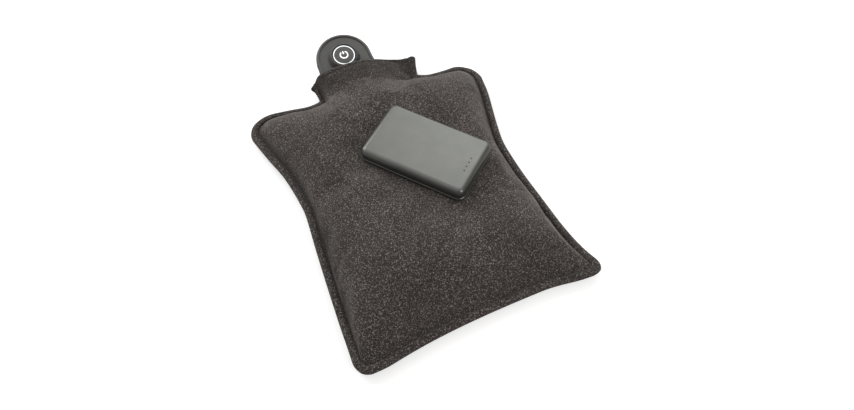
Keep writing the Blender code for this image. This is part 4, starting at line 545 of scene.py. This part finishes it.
def edgeDistances(x, y):
    return (bottleHalfWidth(y, shape["seam"]) - abs(x), y - footLine(x, shape["seam"]),
            shoulderLine(x, shape["seam"]) - y)


def neckArch(x, y):
    # The neck's arch is steeper on its left than on its right, and fades into the body
    depth = max(shoulderY - shape["seam"] - y, 0)
    half = neckHalfWidth(y, shape["seam"]) + shape["neckSpread"] * depth
    if abs(x) >= half or depth >= shape["neckFade"]:
        return 0
    faded = depth / shape["neckFade"]
    lean = math.log(0.5) / math.log(shape["archPeak"])
    across = 2 * ((x / half + 1) / 2) ** lean - 1
    root = shape["archSteep"] if across < 0 else shape["archGentle"]
    evened = root + (shape["archEven"] - root) * smoothStep(faded * shape["archFade"])
    return (1 - faded ** shape["archFade"]) * (1 - across ** 2) ** evened


def bankOutside(x, y):
    turn = bankPlace["turn"]
    along = (x - bankPlace["x"]) * math.cos(turn) + (y - bankY) * math.sin(turn)
    across = (y - bankY) * math.cos(turn) - (x - bankPlace["x"]) * math.sin(turn)
    return math.hypot(max(abs(along) - bankPlace["length"] / 2, 0),
                      max(abs(across) - bankPlace["width"] / 2, 0))


def frontHeight(x, y):
    # Outer face of the front cloth
    side, foot, shoulder = edgeDistances(x, y)
    body = (shape["crown"] - shape["cloth"] - shape["seamHeight"]) * swell(side, shape["sideRound"], 3)
    body *= swell(foot, shape["footRound"], 3) ** shape["footEase"] * swell(shoulder, shape["endRound"], 3)
    neck = (shape["mouthArch"] - shape["cloth"] - seamLevel(y)) * neckArch(x, y)
    height = seamLevel(y) + shape["layerGap"] + (body ** 3 + neck ** 3) ** (1 / 3)
    pressed = smoothStep((bankOutside(x, y) - shape["pressReach"]) / shape["pressFade"])
    plateau = bankUnderside - shape["bankGap"] - shape["cloth"] + shape["bankSinking"] * pressed
    knee = plateau - shape["plateauBlend"]
    if height > knee:
        height = knee + shape["plateauBlend"] * math.tanh((height - knee) / shape["plateauBlend"])
    hem = eased(abs(y - mouthY + skinSetup["hemDistance"]), skinSetup["hemHalf"], 0)
    return height + shape["cloth"] - skinSetup["hemDepth"] * hem


def backHeight(x, y):
    # Outer face of the back cloth, flat where the bottle rests on it, hollow along the zip
    side, foot, shoulder = edgeDistances(x, y)
    reach = shape["backRound"]
    body = swell(side, reach, 2) * swell(foot, reach, 2) * swell(shoulder, reach, 2)
    depth = max(shoulderY - shape["seam"] - y, 0)
    neck = swell(neckHalfWidth(y, shape["seam"]) - abs(x), reach, 2) * swell(reach - depth, reach, 2)
    share = min((body ** 3 + neck ** 3) ** (1 / 3), 1)
    top = seamLevel(y) - shape["layerGap"]
    groove = (shape["grooveReach"] - abs(y - zipY)) / (shape["grooveReach"] - shape["grooveFlat"])
    height = top + (shape["cloth"] - top) * share + shape["grooveDepth"] * smoothStep(groove)
    return min(height, top) - shape["cloth"]


def curveThrough(rows, place, index):
    # A smooth curve through one column of a table, by its place along the first
    last = len(rows) - 1
    step = max(sum(row[0] < place for row in rows) - 1, 0)
    before, low, high, after = (rows[min(max(step + offset, 0), last)] for offset in (-1, 0, 1, 2))
    length = high[0] - low[0]
    share = limited((place - low[0]) / length)
    slopeLow = (high[index] - before[index]) / (high[0] - before[0]) * length
    slopeHigh = (after[index] - low[index]) / (after[0] - low[0]) * length
    square, cube = share ** 2, share ** 3
    return ((2 * cube - 3 * square + 1) * low[index] + (3 * square - 2 * cube) * high[index]
            + (cube - 2 * square + share) * slopeLow + (cube - square) * slopeHigh)


def leaned(x, y):
    # Where a point of the cut shape comes to lie
    shift, turn, middle, widen = (curveThrough(leanSetup["rows"], y, index) for index in (1, 2, 3, 4))
    side = min((abs(x) / leanSetup["sideReach"]) ** 2, leanSetup["sideMost"])
    neck, notch, room = leanSetup["neckUp"], leanSetup["notch"], leanSetup["neckRoom"]
    up = neck["most"] * eased(y, *neck["along"]) * eased(abs(x), *neck["across"])
    up -= (notch["drop"] * eased(abs(abs(x) - notch["spot"]), notch["width"], 0)
           * eased(y, *notch["rise"]) * eased(y, *notch["fall"]))
    for slope, start, whole, centre, reach, fade in leanSetup["ends"]:
        up += slope * x * eased(y, start, whole) * smoothStep((reach - abs(x - centre)) / fade)
    shift += widen if x > 0 else -widen
    if x < 0:
        x -= (room["most"] * eased(-x, *room["outer"]) * eased(-x, *room["inner"])
              * eased(y, *room["along"]) * (1 - room["mouthLoss"] * eased(y, *room["mouth"])))
    return x + shift * side + middle * (1 - min(side, 1)), y + turn * x * min(side, 1) + up


# Felt cover: one fine skin with a bound edge all round

skinSetup = {
    "neckColumns": 14, "shoulderColumns": 14, "crowding": 1.6, "neckRows": 15,
    "lowRows": 12, "lowCrowding": 1.35, "highRows": 44, "highCrowding": 1.3,
    # half distances of the rows along the zip, beside those at the groove's edges
    "grooveRows": (0.0165, 0.0137), "zipRows": (0.0085, 0.0062, 0.0030), "rowSpare": 0.0001,
    # distance in from the outer edge, half thickness of the two cloths there
    "rings": [(0.0083, 0.0012), (0.0075, 0.0021), (0.0060, 0.0026), (0.0037, 0.0026),
              (0.0018, 0.0021), (0.0006, 0.0013), (0.0, 0.0)],
    "grooveHalf": 0.0010, "zipSeamGroove": 0.0011, "zipSeamHalf": (0.004, 0.001),
    "feltThickness": 0.0020,
    "puckerDepth": 0.0004, "puckerLength": 0.011, "puckerReach": 0.020, "puckerStart": 0.003,
    "puckerPlace": 0.007,
    "lumpDepth": 0.0007, "lumpLength": 0.045, "lumpFromBank": 0.03, "lumpFromRim": 0.02,
    "tabLeft": -0.0052, "tabRight": 0.0002, "tabRound": 0.0018, "tabLength": 0.012,
    "tabRise": 0.2, "tabCorner": 0.65,
    # the mouth's lip sags on its right, most between these shares of its half width
    "lipDrop": 0.0026, "lipRiseShares": (0, 1 / 2), "lipFallShares": (1, 5 / 6),
    "neckFrom": 0.065,    # from here on the neck's stitching counts as the rim
    "hemDistance": 0.0075, "hemHalf": 0.0016, "hemDepth": 0.0005, "hemShade": 0.35, "hemShadeHalf": 0.0022,
    # how far the seam's shade reaches into the body and out onto the seam allowance
    "creaseReach": (0.0045, 0.0055),
    # the seam's shade is weak at the foot, and the collar's grows towards the mouth
    "footShade": 0.1, "footSpan": (0.01, 0.06), "collarShade": 0.60, "collarSpan": (-0.016, 0.004),
}


def rowLines():
    # Rows on the centre line from the foot's stitching to the shoulders' stitching
    low, high = footLine(0, shape["seam"]), shoulderY - shape["seam"]
    zipLow, zipHigh = zipY - shape["grooveReach"], zipY + shape["grooveReach"]
    count, crowding = skinSetup["lowRows"], skinSetup["lowCrowding"]
    rows = [low + (zipLow - low) * (index / count) ** crowding for index in range(count)]
    half = [shape["grooveReach"], *skinSetup["grooveRows"], shape["grooveFlat"], *skinSetup["zipRows"]]
    rows += [zipY - value for value in half] + [zipY] + [zipY + value for value in reversed(half)]
    count, crowding = skinSetup["highRows"], skinSetup["highCrowding"]
    rows += [zipHigh + (high - zipHigh) * (1 - (1 - index / count) ** crowding)
             for index in range(1, count + 1)]
    return rows


class CoverGrid:
    # Names each point of a panel by its column and row, and gives its place in the cut shape

    def __init__(self, neckColumns, shoulderColumns, rows, neckRows):
        self.neckColumns, self.columns = neckColumns, neckColumns + shoulderColumns
        self.shoulderColumns = shoulderColumns
        self.rows, self.lastBodyRow, self.neckRows = rows, len(rows) - 1, neckRows
        self.lastRow = self.lastBodyRow + neckRows
        self.zipRow = min(range(len(rows)), key=lambda index: abs(rows[index] - zipY))

    def corner(self, half, centreY, radius, upward):
        reach = (radius - shape["seam"]) * math.sqrt(0.5)
        return half - radius + reach, centreY + upward * reach

    def place(self, column, row):
        sign, column = (-1 if column < 0 else 1), abs(column)
        rows, low, high = self.rows, self.rows[0], self.rows[-1]
        foot = self.corner(shape["footHalf"], footY + shape["footRadius"], shape["footRadius"], -1)
        top = self.corner(shape["shoulderHalf"], shoulderY - shape["shoulderRadius"],
                          shape["shoulderRadius"], 1)
        if row > self.lastBodyRow:
            share = (row - self.lastBodyRow) / self.neckRows
            y = high + (mouthY - high) * share
            across = column / self.neckColumns
            sag = shape["mouthDip"] * share * share * (1 - across ** 2)
            if sign > 0:
                sag += (skinSetup["lipDrop"] * share * share * eased(across, *skinSetup["lipRiseShares"])
                        * eased(across, *skinSetup["lipFallShares"]))
            return sign * neckHalfWidth(y, shape["seam"]) * across, y - sag
        across = 1 - (1 - column / self.columns) ** skinSetup["crowding"]
        up = (rows[row] - low) / (high - low)
        if abs(rows[row] - zipY) <= shape["grooveReach"] + skinSetup["rowSpare"]:
            return sign * bottleHalfWidth(rows[row], shape["seam"]) * across, rows[row]
        footX = foot[0] * across
        footPoint = footX, footLine(footX, shape["seam"])
        inner = shape["neckHalf"] - shape["seam"]
        if column <= self.neckColumns:
            topX = inner * column / self.neckColumns
        else:
            topX = inner + (top[0] - inner) * (column - self.neckColumns) / self.shoulderColumns
        topPoint = topX, shoulderLine(topX, shape["seam"])
        sideY = foot[1] + (top[1] - foot[1]) * up
        sideX = bottleHalfWidth(sideY, shape["seam"])
        x = ((1 - up) * footPoint[0] + up * topPoint[0] + across * sideX
             - across * ((1 - up) * foot[0] + up * top[0]))
        y = ((1 - up) * footPoint[1] + up * topPoint[1] + (1 - across) * rows[row] + across * sideY
             - (1 - across) * ((1 - up) * low + up * high) - across * ((1 - up) * foot[1] + up * top[1]))
        return sign * x, y

    def cells(self):
        # Every grid square as its lower left column and row
        for row in range(self.lastRow):
            reach = self.columns if row < self.lastBodyRow else self.neckColumns
            for column in range(-reach, reach):
                yield column, row

    def rim(self):
        # The stitching line as (column, row), from the mouth's right end round the foot to its left end
        loop = [(self.neckColumns, row) for row in range(self.lastRow, self.lastBodyRow, -1)]
        loop += [(column, self.lastBodyRow) for column in range(self.neckColumns, self.columns)]
        loop += [(self.columns, row) for row in range(self.lastBodyRow, 0, -1)]
        half = loop + [(column, 0) for column in range(self.columns, 0, -1)]
        return half + [(0, 0)] + [(-column, row) for column, row in reversed(half)]

    def outward(self, column, row):
        # The outer edge's point that belongs to a point of the stitching line
        x, y = self.place(abs(column), row)
        sign = -1 if column < 0 else 1
        seam = shape["seam"]
        if row > self.lastBodyRow or (row == self.lastBodyRow and abs(column) == self.neckColumns):
            outerY = shoulderY + (y - shoulderY + seam) * shape["neckLength"] / (shape["neckLength"] + seam)
            return sign * neckHalfWidth(outerY, 0), outerY
        footCentre = shape["footHalf"] - shape["footRadius"], footY + shape["footRadius"]
        topCentre = shape["shoulderHalf"] - shape["shoulderRadius"], shoulderY - shape["shoulderRadius"]
        if x > footCentre[0] and y < footCentre[1]:
            centre = footCentre
        elif x > topCentre[0] and y > topCentre[1]:
            centre = topCentre
        elif row == 0:
            return sign * x, y - seam
        elif row == self.lastBodyRow:
            inner = shape["neckHalf"] - seam
            stretch = (topCentre[0] - shape["neckHalf"]) / (topCentre[0] - inner)
            outerX = shape["neckHalf"] + (x - inner) * stretch
            return sign * outerX, shoulderLine(outerX, 0)
        else:
            return sign * (x + seam), y
        reach = math.hypot(x - centre[0], y - centre[1])
        return (sign * (x + (x - centre[0]) / reach * seam), y + (y - centre[1]) / reach * seam)


def rimDistance(x, y):
    side, foot, shoulder = edgeDistances(x, y)
    toNeck = neckHalfWidth(y, shape["seam"]) - abs(x)
    if toNeck > 0 and y > skinSetup["neckFrom"]:
        side = shoulder = toNeck
    return max(min(side, foot, shoulder), 0)


def handling(x, y, z):
    # Soft lumps of the stuffing, and short puckers where the stitching draws the cloth in
    setup = skinSetup
    away = rimDistance(x, y)
    lump = noise.noise(Vector((x, y, z)) / setup["lumpLength"]) * setup["lumpDepth"]
    free = smoothStep(bankOutside(x, y) / setup["lumpFromBank"]) * smoothStep(away / setup["lumpFromRim"])
    pucker = noise.noise(Vector((x, y, setup["puckerPlace"])) / setup["puckerLength"]) * setup["puckerDepth"]
    drawn = eased(away, setup["puckerReach"], 0) * smoothStep(away / setup["puckerStart"])
    return lump * free + pucker * drawn


def tabReach(x, y, share):
    # The seam's end stands past the mouth on the right, with a round corner, and is cut away on the left
    near = smoothStep((y - mouthY) / skinSetup["tabLength"] + 1)
    if x < 0:
        return skinSetup["tabLeft"] * near * share
    beyond = max((share - skinSetup["tabCorner"]) / (1 - skinSetup["tabCorner"]), 0)
    return near * (skinSetup["tabRight"] * smoothStep(share / skinSetup["tabRise"])
                   - skinSetup["tabRound"] * beyond ** 2)


def seamShadeAt(key, x, y):
    # How much painted shade from the seam's groove and the hem, and the collar's darkening, darken the felt
    # at a point, from 0 to 1
    setup = skinSetup
    inward, outward = setup["creaseReach"]
    if key[0] == "edge":
        away = 1
    elif key[0].startswith("ring"):
        away = abs(setup["rings"][key[2]][0] - shape["seam"]) / outward
    else:
        away = rimDistance(x, y) / inward
    strength = setup["footShade"] + (1 - setup["footShade"]) * eased(y - footY, *setup["footSpan"])
    hem = setup["hemShade"] * eased(abs(y - mouthY + setup["hemDistance"]), setup["hemShadeHalf"], 0)
    collar = setup["collarShade"] * eased(y - shoulderY, *setup["collarSpan"])
    return max(eased(away, 1, 0) * strength, hem + collar)


def buildCoverSkin():
    setup = skinSetup
    grid = CoverGrid(setup["neckColumns"], setup["shoulderColumns"], rowLines(), setup["neckRows"])
    points, index, faces, shades = [], {}, [], []

    def point(key, x, y, z):
        if key not in index:
            index[key] = len(points)
            points.append((*leaned(x, y), z))
            shades.append(seamShadeAt(key, x, y))
        return index[key]

    rim = grid.rim()
    onRim = set(rim)
    slotReach = shape["zipHalf"] + shape["slotOverrun"] + shape["slotTaper"]
    heights = {"front": frontHeight, "back": backHeight}
    for side in heights:
        for row in range(grid.lastRow + 1):
            reach = grid.columns if row <= grid.lastBodyRow else grid.neckColumns
            for column in range(-reach, reach + 1):
                x, y = grid.place(column, row)
                key, z = (side, column, row), heights[side](x, y)
                if (column, row) in onRim:
                    point(key, x, y, seamLevel(y) + setup["grooveHalf"] * (1 if side == "front" else -1))
                elif side == "front":
                    point(key, x, y, z + handling(x, y, z))
                elif row == grid.zipRow and abs(x) < slotReach:
                    opening = shape["slotHalf"] * smoothStep((slotReach - abs(x)) / shape["slotTaper"])
                    point((*key, "low"), x, y - opening, z)
                    point((*key, "high"), x, y + opening, z)
                else:
                    near = eased(abs(y - zipY), *setup["zipSeamHalf"])
                    dip = setup["zipSeamGroove"] * near if abs(x) >= slotReach else 0
                    point(key, x, y, z + dip)
    for column, row in grid.cells():
        faces.append([index[("front", *corner)] for corner in
                      ((column, row), (column + 1, row), (column + 1, row + 1), (column, row + 1))])
        lower = "high" if row == grid.zipRow else "low"
        corners = []
        for corner in ((column, row + 1), (column + 1, row + 1), (column + 1, row), (column, row)):
            key = ("back", *corner)
            corners.append(index[key] if key in index else index[(*key, lower)])
        faces.append(corners)
    rings = setup["rings"]
    for step, (column, row) in enumerate(rim):
        x, y = grid.place(column, row)
        outerX, outerY = grid.outward(column, row)
        for ring, (distance, half) in enumerate(rings):
            share = 1 - distance / shape["seam"]
            ringX, ringY = x + (outerX - x) * share, y + (outerY - y) * share
            ringY += tabReach(x, ringY, share)
            level = seamLevel(ringY)
            if ring == len(rings) - 1:
                last = point(("edge", step), ringX, ringY, level)
                index[("ringfront", step, ring)] = index[("ringback", step, ring)] = last
            else:
                point(("ringfront", step, ring), ringX, ringY, level + half)
                point(("ringback", step, ring), ringX, ringY, level - half)
    for step in range(len(rim) - 1):
        here, there = rim[step], rim[step + 1]
        for side in heights:
            before = index[(side, *here)], index[(side, *there)]
            for ring in range(len(rings)):
                after = index[("ring" + side, step, ring)], index[("ring" + side, step + 1, ring)]
                face = [before[0], after[0], after[1], before[1]]
                faces.append(face[::-1] if side == "front" else face)
                before = after
    mesh = newMesh("feltCover", points, faces)
    # painted shade for the felt's colour along the seam's groove and the hem, and the collar's darkening
    mesh.attributes.new("seamShade", "FLOAT", "POINT").data.foreach_set("value", shades)
    return mesh, grid, index


clothSetup = {
    "pressure": 4.0, "frames": 20, "shrink": -0.012, "cap": 0.004, "mass": 0.25,
    "tension": 25.0, "bending": 1.5, "quality": 5,
    # how far outside the bank the cloth is free, and how steeply it may rise there
    "bankMargin": 0.002, "bankSlope": 0.3, "bankRoom": 0.0001,
}


def puffFront(mesh, grid, index):
    # Lets the stuffing push the front cloth out as cloth, held along its stitching and its hem
    keys = [key for key in index if key[0] == "front"]
    order = {index[key]: place for place, key in enumerate(keys)}
    start = [mesh.vertices[vertex].co.copy() for vertex in order]
    quads = [[order[vertex] for vertex in face.vertices] for face in mesh.polygons
             if all(vertex in order for vertex in face.vertices)]
    cloth = linkObject("frontCloth", newMesh("frontCloth", [tuple(co) for co in start], quads))
    held = cloth.vertex_groups.new(name="held")
    rim = set(grid.rim())
    margin = clothSetup["bankMargin"]
    for place, key in enumerate(keys):
        underBank = bankOutside(start[place].x, start[place].y) < margin
        if key[1:] in rim or key[2] == grid.lastRow or underBank:
            held.add([place], 1.0, "REPLACE")
    modifier = cloth.modifiers.new("cloth", "CLOTH")
    settings = modifier.settings
    settings.quality = clothSetup["quality"]
    settings.mass = clothSetup["mass"]
    settings.tension_stiffness = settings.compression_stiffness = clothSetup["tension"]
    settings.bending_stiffness = clothSetup["bending"]
    settings.use_pressure = True
    settings.uniform_pressure_force = clothSetup["pressure"]
    settings.shrink_min = clothSetup["shrink"]
    settings.vertex_group_mass = "held"
    settings.effector_weights.gravity = 0
    modifier.point_cache.frame_start = 1
    modifier.point_cache.frame_end = clothSetup["frames"]
    for step in range(1, clothSetup["frames"] + 1):
        scene.frame_set(step)
    shaped = cloth.evaluated_get(bpy.context.evaluated_depsgraph_get())
    farthest = 0
    for place, vertex in enumerate(order):
        move = shaped.data.vertices[place].co - start[place]
        if move.length > clothSetup["cap"]:
            move *= clothSetup["cap"] / move.length
        farthest = max(farthest, move.length)
        target = start[place] + move
        outside = bankOutside(target.x, target.y)
        ceiling = bankUnderside - clothSetup["bankRoom"] + clothSetup["bankSlope"] * max(outside - margin, 0)
        target.z = min(target.z, max(ceiling, start[place].z))
        mesh.vertices[vertex].co = target
    bpy.data.objects.remove(cloth)
    scene.frame_set(1)
    print("front cloth puffed, farthest move %.1f mm" % (farthest / mm))


def thicken(piece, thickness, offset):
    layer = piece.modifiers.new("thickness", "SOLIDIFY")
    layer.thickness = thickness
    layer.offset = offset


def soften(piece):
    smoother = piece.modifiers.new("smooth", "SUBSURF")
    smoother.levels = smoother.render_levels = 1


def surfaceTree(mesh):
    return BVHTree.FromPolygons([vertex.co for vertex in mesh.vertices],
                                [face.vertices[:] for face in mesh.polygons])


def addFeltCover():
    mesh, grid, index = buildCoverSkin()
    puffFront(mesh, grid, index)
    cover = linkPiece("feltCover", mesh, finishes["felt_cloth"])
    thicken(cover, skinSetup["feltThickness"], -1)
    soften(cover)
    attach(cover, "bottle")
    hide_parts("cover_front", "cover_back_upper", "cover_back_lower")
    print("felt cover made")
    addSeamStitches(cover, grid)
    return surfaceTree(mesh)


stitchSetup = {
    "length": 0.0027, "gap": 0.0007, "radius": 0.00042, "sinking": 0.00005, "around": 6, "reach": 0.012,
    # place along the stitch, share of the radius, how far it dives into the cloth
    "rings": [(0.0, 0.5, 1.0), (0.18, 0.9, 0.25), (0.5, 1.0, 0.0), (0.82, 0.9, 0.25), (1.0, 0.5, 1.0)],
}


def addSeamStitches(cover, grid):
    # Lockstitches in the seam's groove, on both sides of the cover
    setup = stitchSetup
    around, rings = setup["around"], setup["rings"]
    shaped = cover.evaluated_get(bpy.context.evaluated_depsgraph_get())
    tree = surfaceTree(shaped.to_mesh())
    shaped.to_mesh_clear()
    cut = [grid.place(column, row) for column, row in grid.rim()]
    line = [Vector((*leaned(x, y), seamLevel(y))) for x, y in cut]
    travel = [0.0]
    for here, there in zip(line, line[1:]):
        travel.append(travel[-1] + (there - here).length)
    pitch = setup["length"] + setup["gap"]
    points, faces = [], []
    for side in (1, -1):
        step = 0
        up = Vector((0, 0, side))
        for stitch in range(int(travel[-1] / pitch)):
            for number, (share, size, dive) in enumerate(rings):
                distance = stitch * pitch + share * setup["length"]
                while travel[step + 1] < distance:
                    step += 1
                part = (distance - travel[step]) / (travel[step + 1] - travel[step])
                spot = line[step].lerp(line[step + 1], part)
                along = (line[step + 1] - line[step]).normalized()
                across = along.cross(Vector((0, 0, 1))).normalized()
                lift = across.cross(along)
                centre = tree.ray_cast(spot + up * setup["reach"], -up)[0] or spot
                centre = centre - up * (setup["sinking"] + dive * setup["radius"])
                for turn in range(around):
                    angle = 2 * math.pi * turn / around
                    points.append(centre + setup["radius"] * size * (across * math.cos(angle)
                                                                    + lift * math.sin(angle)))
                    if number:
                        first, second = len(points) - 1 - around, len(points) - 1
                        ahead = 1 - (around if turn == around - 1 else 0)
                        faces.append((first, second, second + ahead, first + ahead))
                if number in (0, len(rings) - 1):
                    faces.append(tuple(range(len(points) - around, len(points))))
    thread = linkPiece("seamStitches", newMesh("seamStitches", points, faces), threadFinish)
    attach(thread, "bottle")
    print("seam stitches sewn")


coverTree = addFeltCover()


# Wadding and battery pocket

wadSetup = {
    "neckColumns": 8, "shoulderColumns": 8, "rows": 34, "neckRows": 3,
    "clearance": 0.0042, "backClearance": 0.0045, "interface": 0.017, "heaterLayer": 0.0038,
    # how far it keeps in from the stitching, and over what distance
    "inset": 0.0085, "insetReach": 0.02, "footReach": 0.035,
    # the part in the neck is this many columns narrower, and its sides reach less far up
    "neckTrim": 2, "neckSetBack": 0.0040,
    "frontLeast": 0.0012, "least": 0.0008, "gap": 0.0007,
    # under the puffed cloth: lowest top, where a ray starts and how fine the steps are
    "lowest": 0.0120, "rayFrom": 0.0128, "rayStep": 0.0004,
    "fluffDepth": 0.0006, "fluffLength": 0.014, "fluffPlace": {"front": 0.003, "back": 0.005},
    "paddle": {"headY": 0.15529, "height": 0.022, "tilt": math.radians(12.9), "front": 0.0050,
               "back": 0.0048, "tail": 0.044, "grommet": 0.022, "blend": 0.024},
    "hollow": {"half": 0.087, "low": -0.121, "high": 0.0668, "height": 0.0104, "blend": 0.005},
    "channel": {"x": -0.0143, "half": 0.0047, "low": 0.0628, "high": 0.1049, "height": 0.0134,
                "blend": 0.003},
}


def wadFaces(y):
    # Underside of the front wadding and top of the back wadding
    paddle, gap = wadSetup["paddle"], wadSetup["gap"]
    tail = paddle["headY"] - paddle["tail"]
    share = limited((y - tail + paddle["grommet"] + paddle["blend"]) / paddle["blend"])
    slant = math.cos(paddle["tilt"])
    middle = paddle["height"] + (max(y, tail) - paddle["headY"]) * math.tan(paddle["tilt"])
    upper = middle + paddle["front"] / slant + gap
    lower = middle - paddle["back"] / slant - gap
    low = wadSetup["interface"]
    return (low + wadSetup["heaterLayer"]) * (1 - share) + upper * share, low * (1 - share) + lower * share


def hollowHeight(x, y):
    # The room for the battery pocket, and the lane for the lead up to the controller
    room, lane = wadSetup["hollow"], wadSetup["channel"]
    inside = min(room["half"] - abs(x), y - room["low"], room["high"] - y)
    height = room["height"] * smoothStep(inside / room["blend"] + 1)
    if y > lane["low"]:
        inLane = min(lane["half"] - abs(x - lane["x"]), lane["high"] - y)
        height = max(height, lane["height"] * smoothStep(inLane / lane["blend"] + 1))
    return height


def roomUnder(x, y, z):
    # Lowers a point of the wadding until the cloth lies above it and far enough from it
    setup = wadSetup
    above = coverTree.ray_cast(Vector((x, y, setup["rayFrom"])), Vector((0, 0, 1)))[0]
    z = min(z, above.z - setup["clearance"]) if above else setup["lowest"]
    while z > setup["lowest"] and coverTree.find_nearest(Vector((x, y, z)))[3] < setup["clearance"]:
        z -= setup["rayStep"]
    return max(z, setup["lowest"])


def wadLevels(side, x, y):
    # Heights of the wadding's two faces
    setup = wadSetup
    place = Vector((x, y, setup["fluffPlace"][side]))
    fluff = abs(noise.noise(place / setup["fluffLength"])) * setup["fluffDepth"]
    frontLow, backHigh = wadFaces(y)
    top = frontHeight(x, y) - setup["clearance"]
    frontLow = min(frontLow, top - setup["frontLeast"])
    if side == "front":
        top = roomUnder(*leaned(x, y), top - fluff)
        return min(frontLow + fluff, top - setup["least"]), top
    floor = max(backHeight(x, y) + setup["backClearance"], hollowHeight(x, y))
    return floor, max(min(backHigh, frontLow - setup["gap"]) - fluff, floor + setup["least"])


def addWadding(name, side, node):
    setup = wadSetup
    low, high = footLine(0, shape["seam"]), shoulderY - shape["seam"]
    rows = [low + (high - low) * (1 - math.cos(math.pi * index / setup["rows"])) / 2
            for index in range(setup["rows"] + 1)]
    grid = CoverGrid(setup["neckColumns"], setup["shoulderColumns"], rows, setup["neckRows"])
    neckReach = grid.neckColumns - setup["neckTrim"]
    squares = {}
    for column, row in grid.cells():
        if row < grid.lastBodyRow or (row == grid.lastBodyRow and abs(column + 0.5) < neckReach):
            squares[(column, row)] = ((column, row), (column + 1, row),
                                      (column + 1, row + 1), (column, row + 1))
    points, index, faces = [], {}, []
    for column, row in sorted({corner for corners in squares.values() for corner in corners}):
        x, y = grid.place(column, row)
        pull = setup["inset"] * eased(rimDistance(x, y), setup["insetReach"], 0)
        x -= x * pull / max(abs(x), setup["insetReach"])
        y += setup["inset"] * max(1 - (y - low) / setup["footReach"], 0)
        if row >= grid.lastBodyRow and abs(column) >= neckReach:
            y -= setup["neckSetBack"]
        for layer, level in enumerate(sorted(wadLevels(side, x, y))):
            index[(column, row, layer)] = len(points)
            points.append((*leaned(x, y), level))
    for (column, row), corners in squares.items():
        faces.append([index[(*corner, 1)] for corner in corners])
        faces.append([index[(*corner, 0)] for corner in reversed(corners)])
        neighbours = (column, row - 1), (column + 1, row), (column, row + 1), (column - 1, row)
        for step, neighbour in enumerate(neighbours):
            if neighbour not in squares:
                first, second = corners[step], corners[(step + 1) % 4]
                faces.append([index[(*first, 0)], index[(*second, 0)], index[(*second, 1)],
                              index[(*first, 1)]])
    pad = linkPiece(name, newMesh(name, points, faces), finishes["wadding"])
    soften(pad)
    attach(pad, "bottle")
    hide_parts(node)


pocketSetup = {
    "columns": 24, "rows": 36, "wall": 0.0009, "slot": 0.0010, "edgeHalf": 0.00055, "edgeShare": 1 / 8,
    "rippleDepth": 0.00025, "rippleLength": 0.02, "cloth": 0.0005,
}


def addPocket():
    # Two layers of lining cloth, joined on three sides, open towards the zip
    setup = pocketSetup
    columns, rows = setup["columns"], setup["rows"]
    low, high = (Vector(corner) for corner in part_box("battery_pocket"))
    middle, reach = (low + high) / 2, (high - low) / 2
    swelling = (setup["slot"] + setup["wall"]) / 2 - setup["edgeHalf"]
    points, faces, index = [], [], {}
    for layer in (0, 1):
        for row in range(rows + 1):
            for column in range(columns + 1):
                u, v = column / columns * 2 - 1, row / rows
                x, y = middle.x + reach.x * u, low.y + (high.y - low.y) * v
                rise = smoothStep(min(1 - abs(u), 1 - v) / setup["edgeShare"])
                ripple = noise.noise(Vector((x, y, layer)) / setup["rippleLength"]) * setup["rippleDepth"]
                half = setup["edgeHalf"] + (swelling + ripple) * rise
                index[(layer, column, row)] = len(points)
                points.append((x, y, middle.z + (half if layer else -half)))
        for row in range(rows):
            for column in range(columns):
                corners = [(column, row), (column + 1, row), (column + 1, row + 1), (column, row + 1)]
                if not layer:
                    corners.reverse()
                faces.append([index[(layer, *corner)] for corner in corners])
    joined = [(0, row) for row in range(rows)] + [(column, rows) for column in range(columns)]
    joined += [(columns, row) for row in range(rows, -1, -1)]
    for here, there in zip(joined, joined[1:]):
        faces.append([index[(0, *there)], index[(0, *here)], index[(1, *here)], index[(1, *there)]])
    pouch = linkPiece("batteryPouch", newMesh("batteryPouch", points, faces), finishes["lining_cloth"])
    thicken(pouch, setup["cloth"], 0)
    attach(pouch, "bottle")
    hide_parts("battery_pocket")


addWadding("frontWadding", "front", "pad_front")
addWadding("backWadding", "back", "pad_back")
addPocket()
print("wadding and battery pouch made")
dressCadNodes()
print("plastic, metal and board finishes assigned")
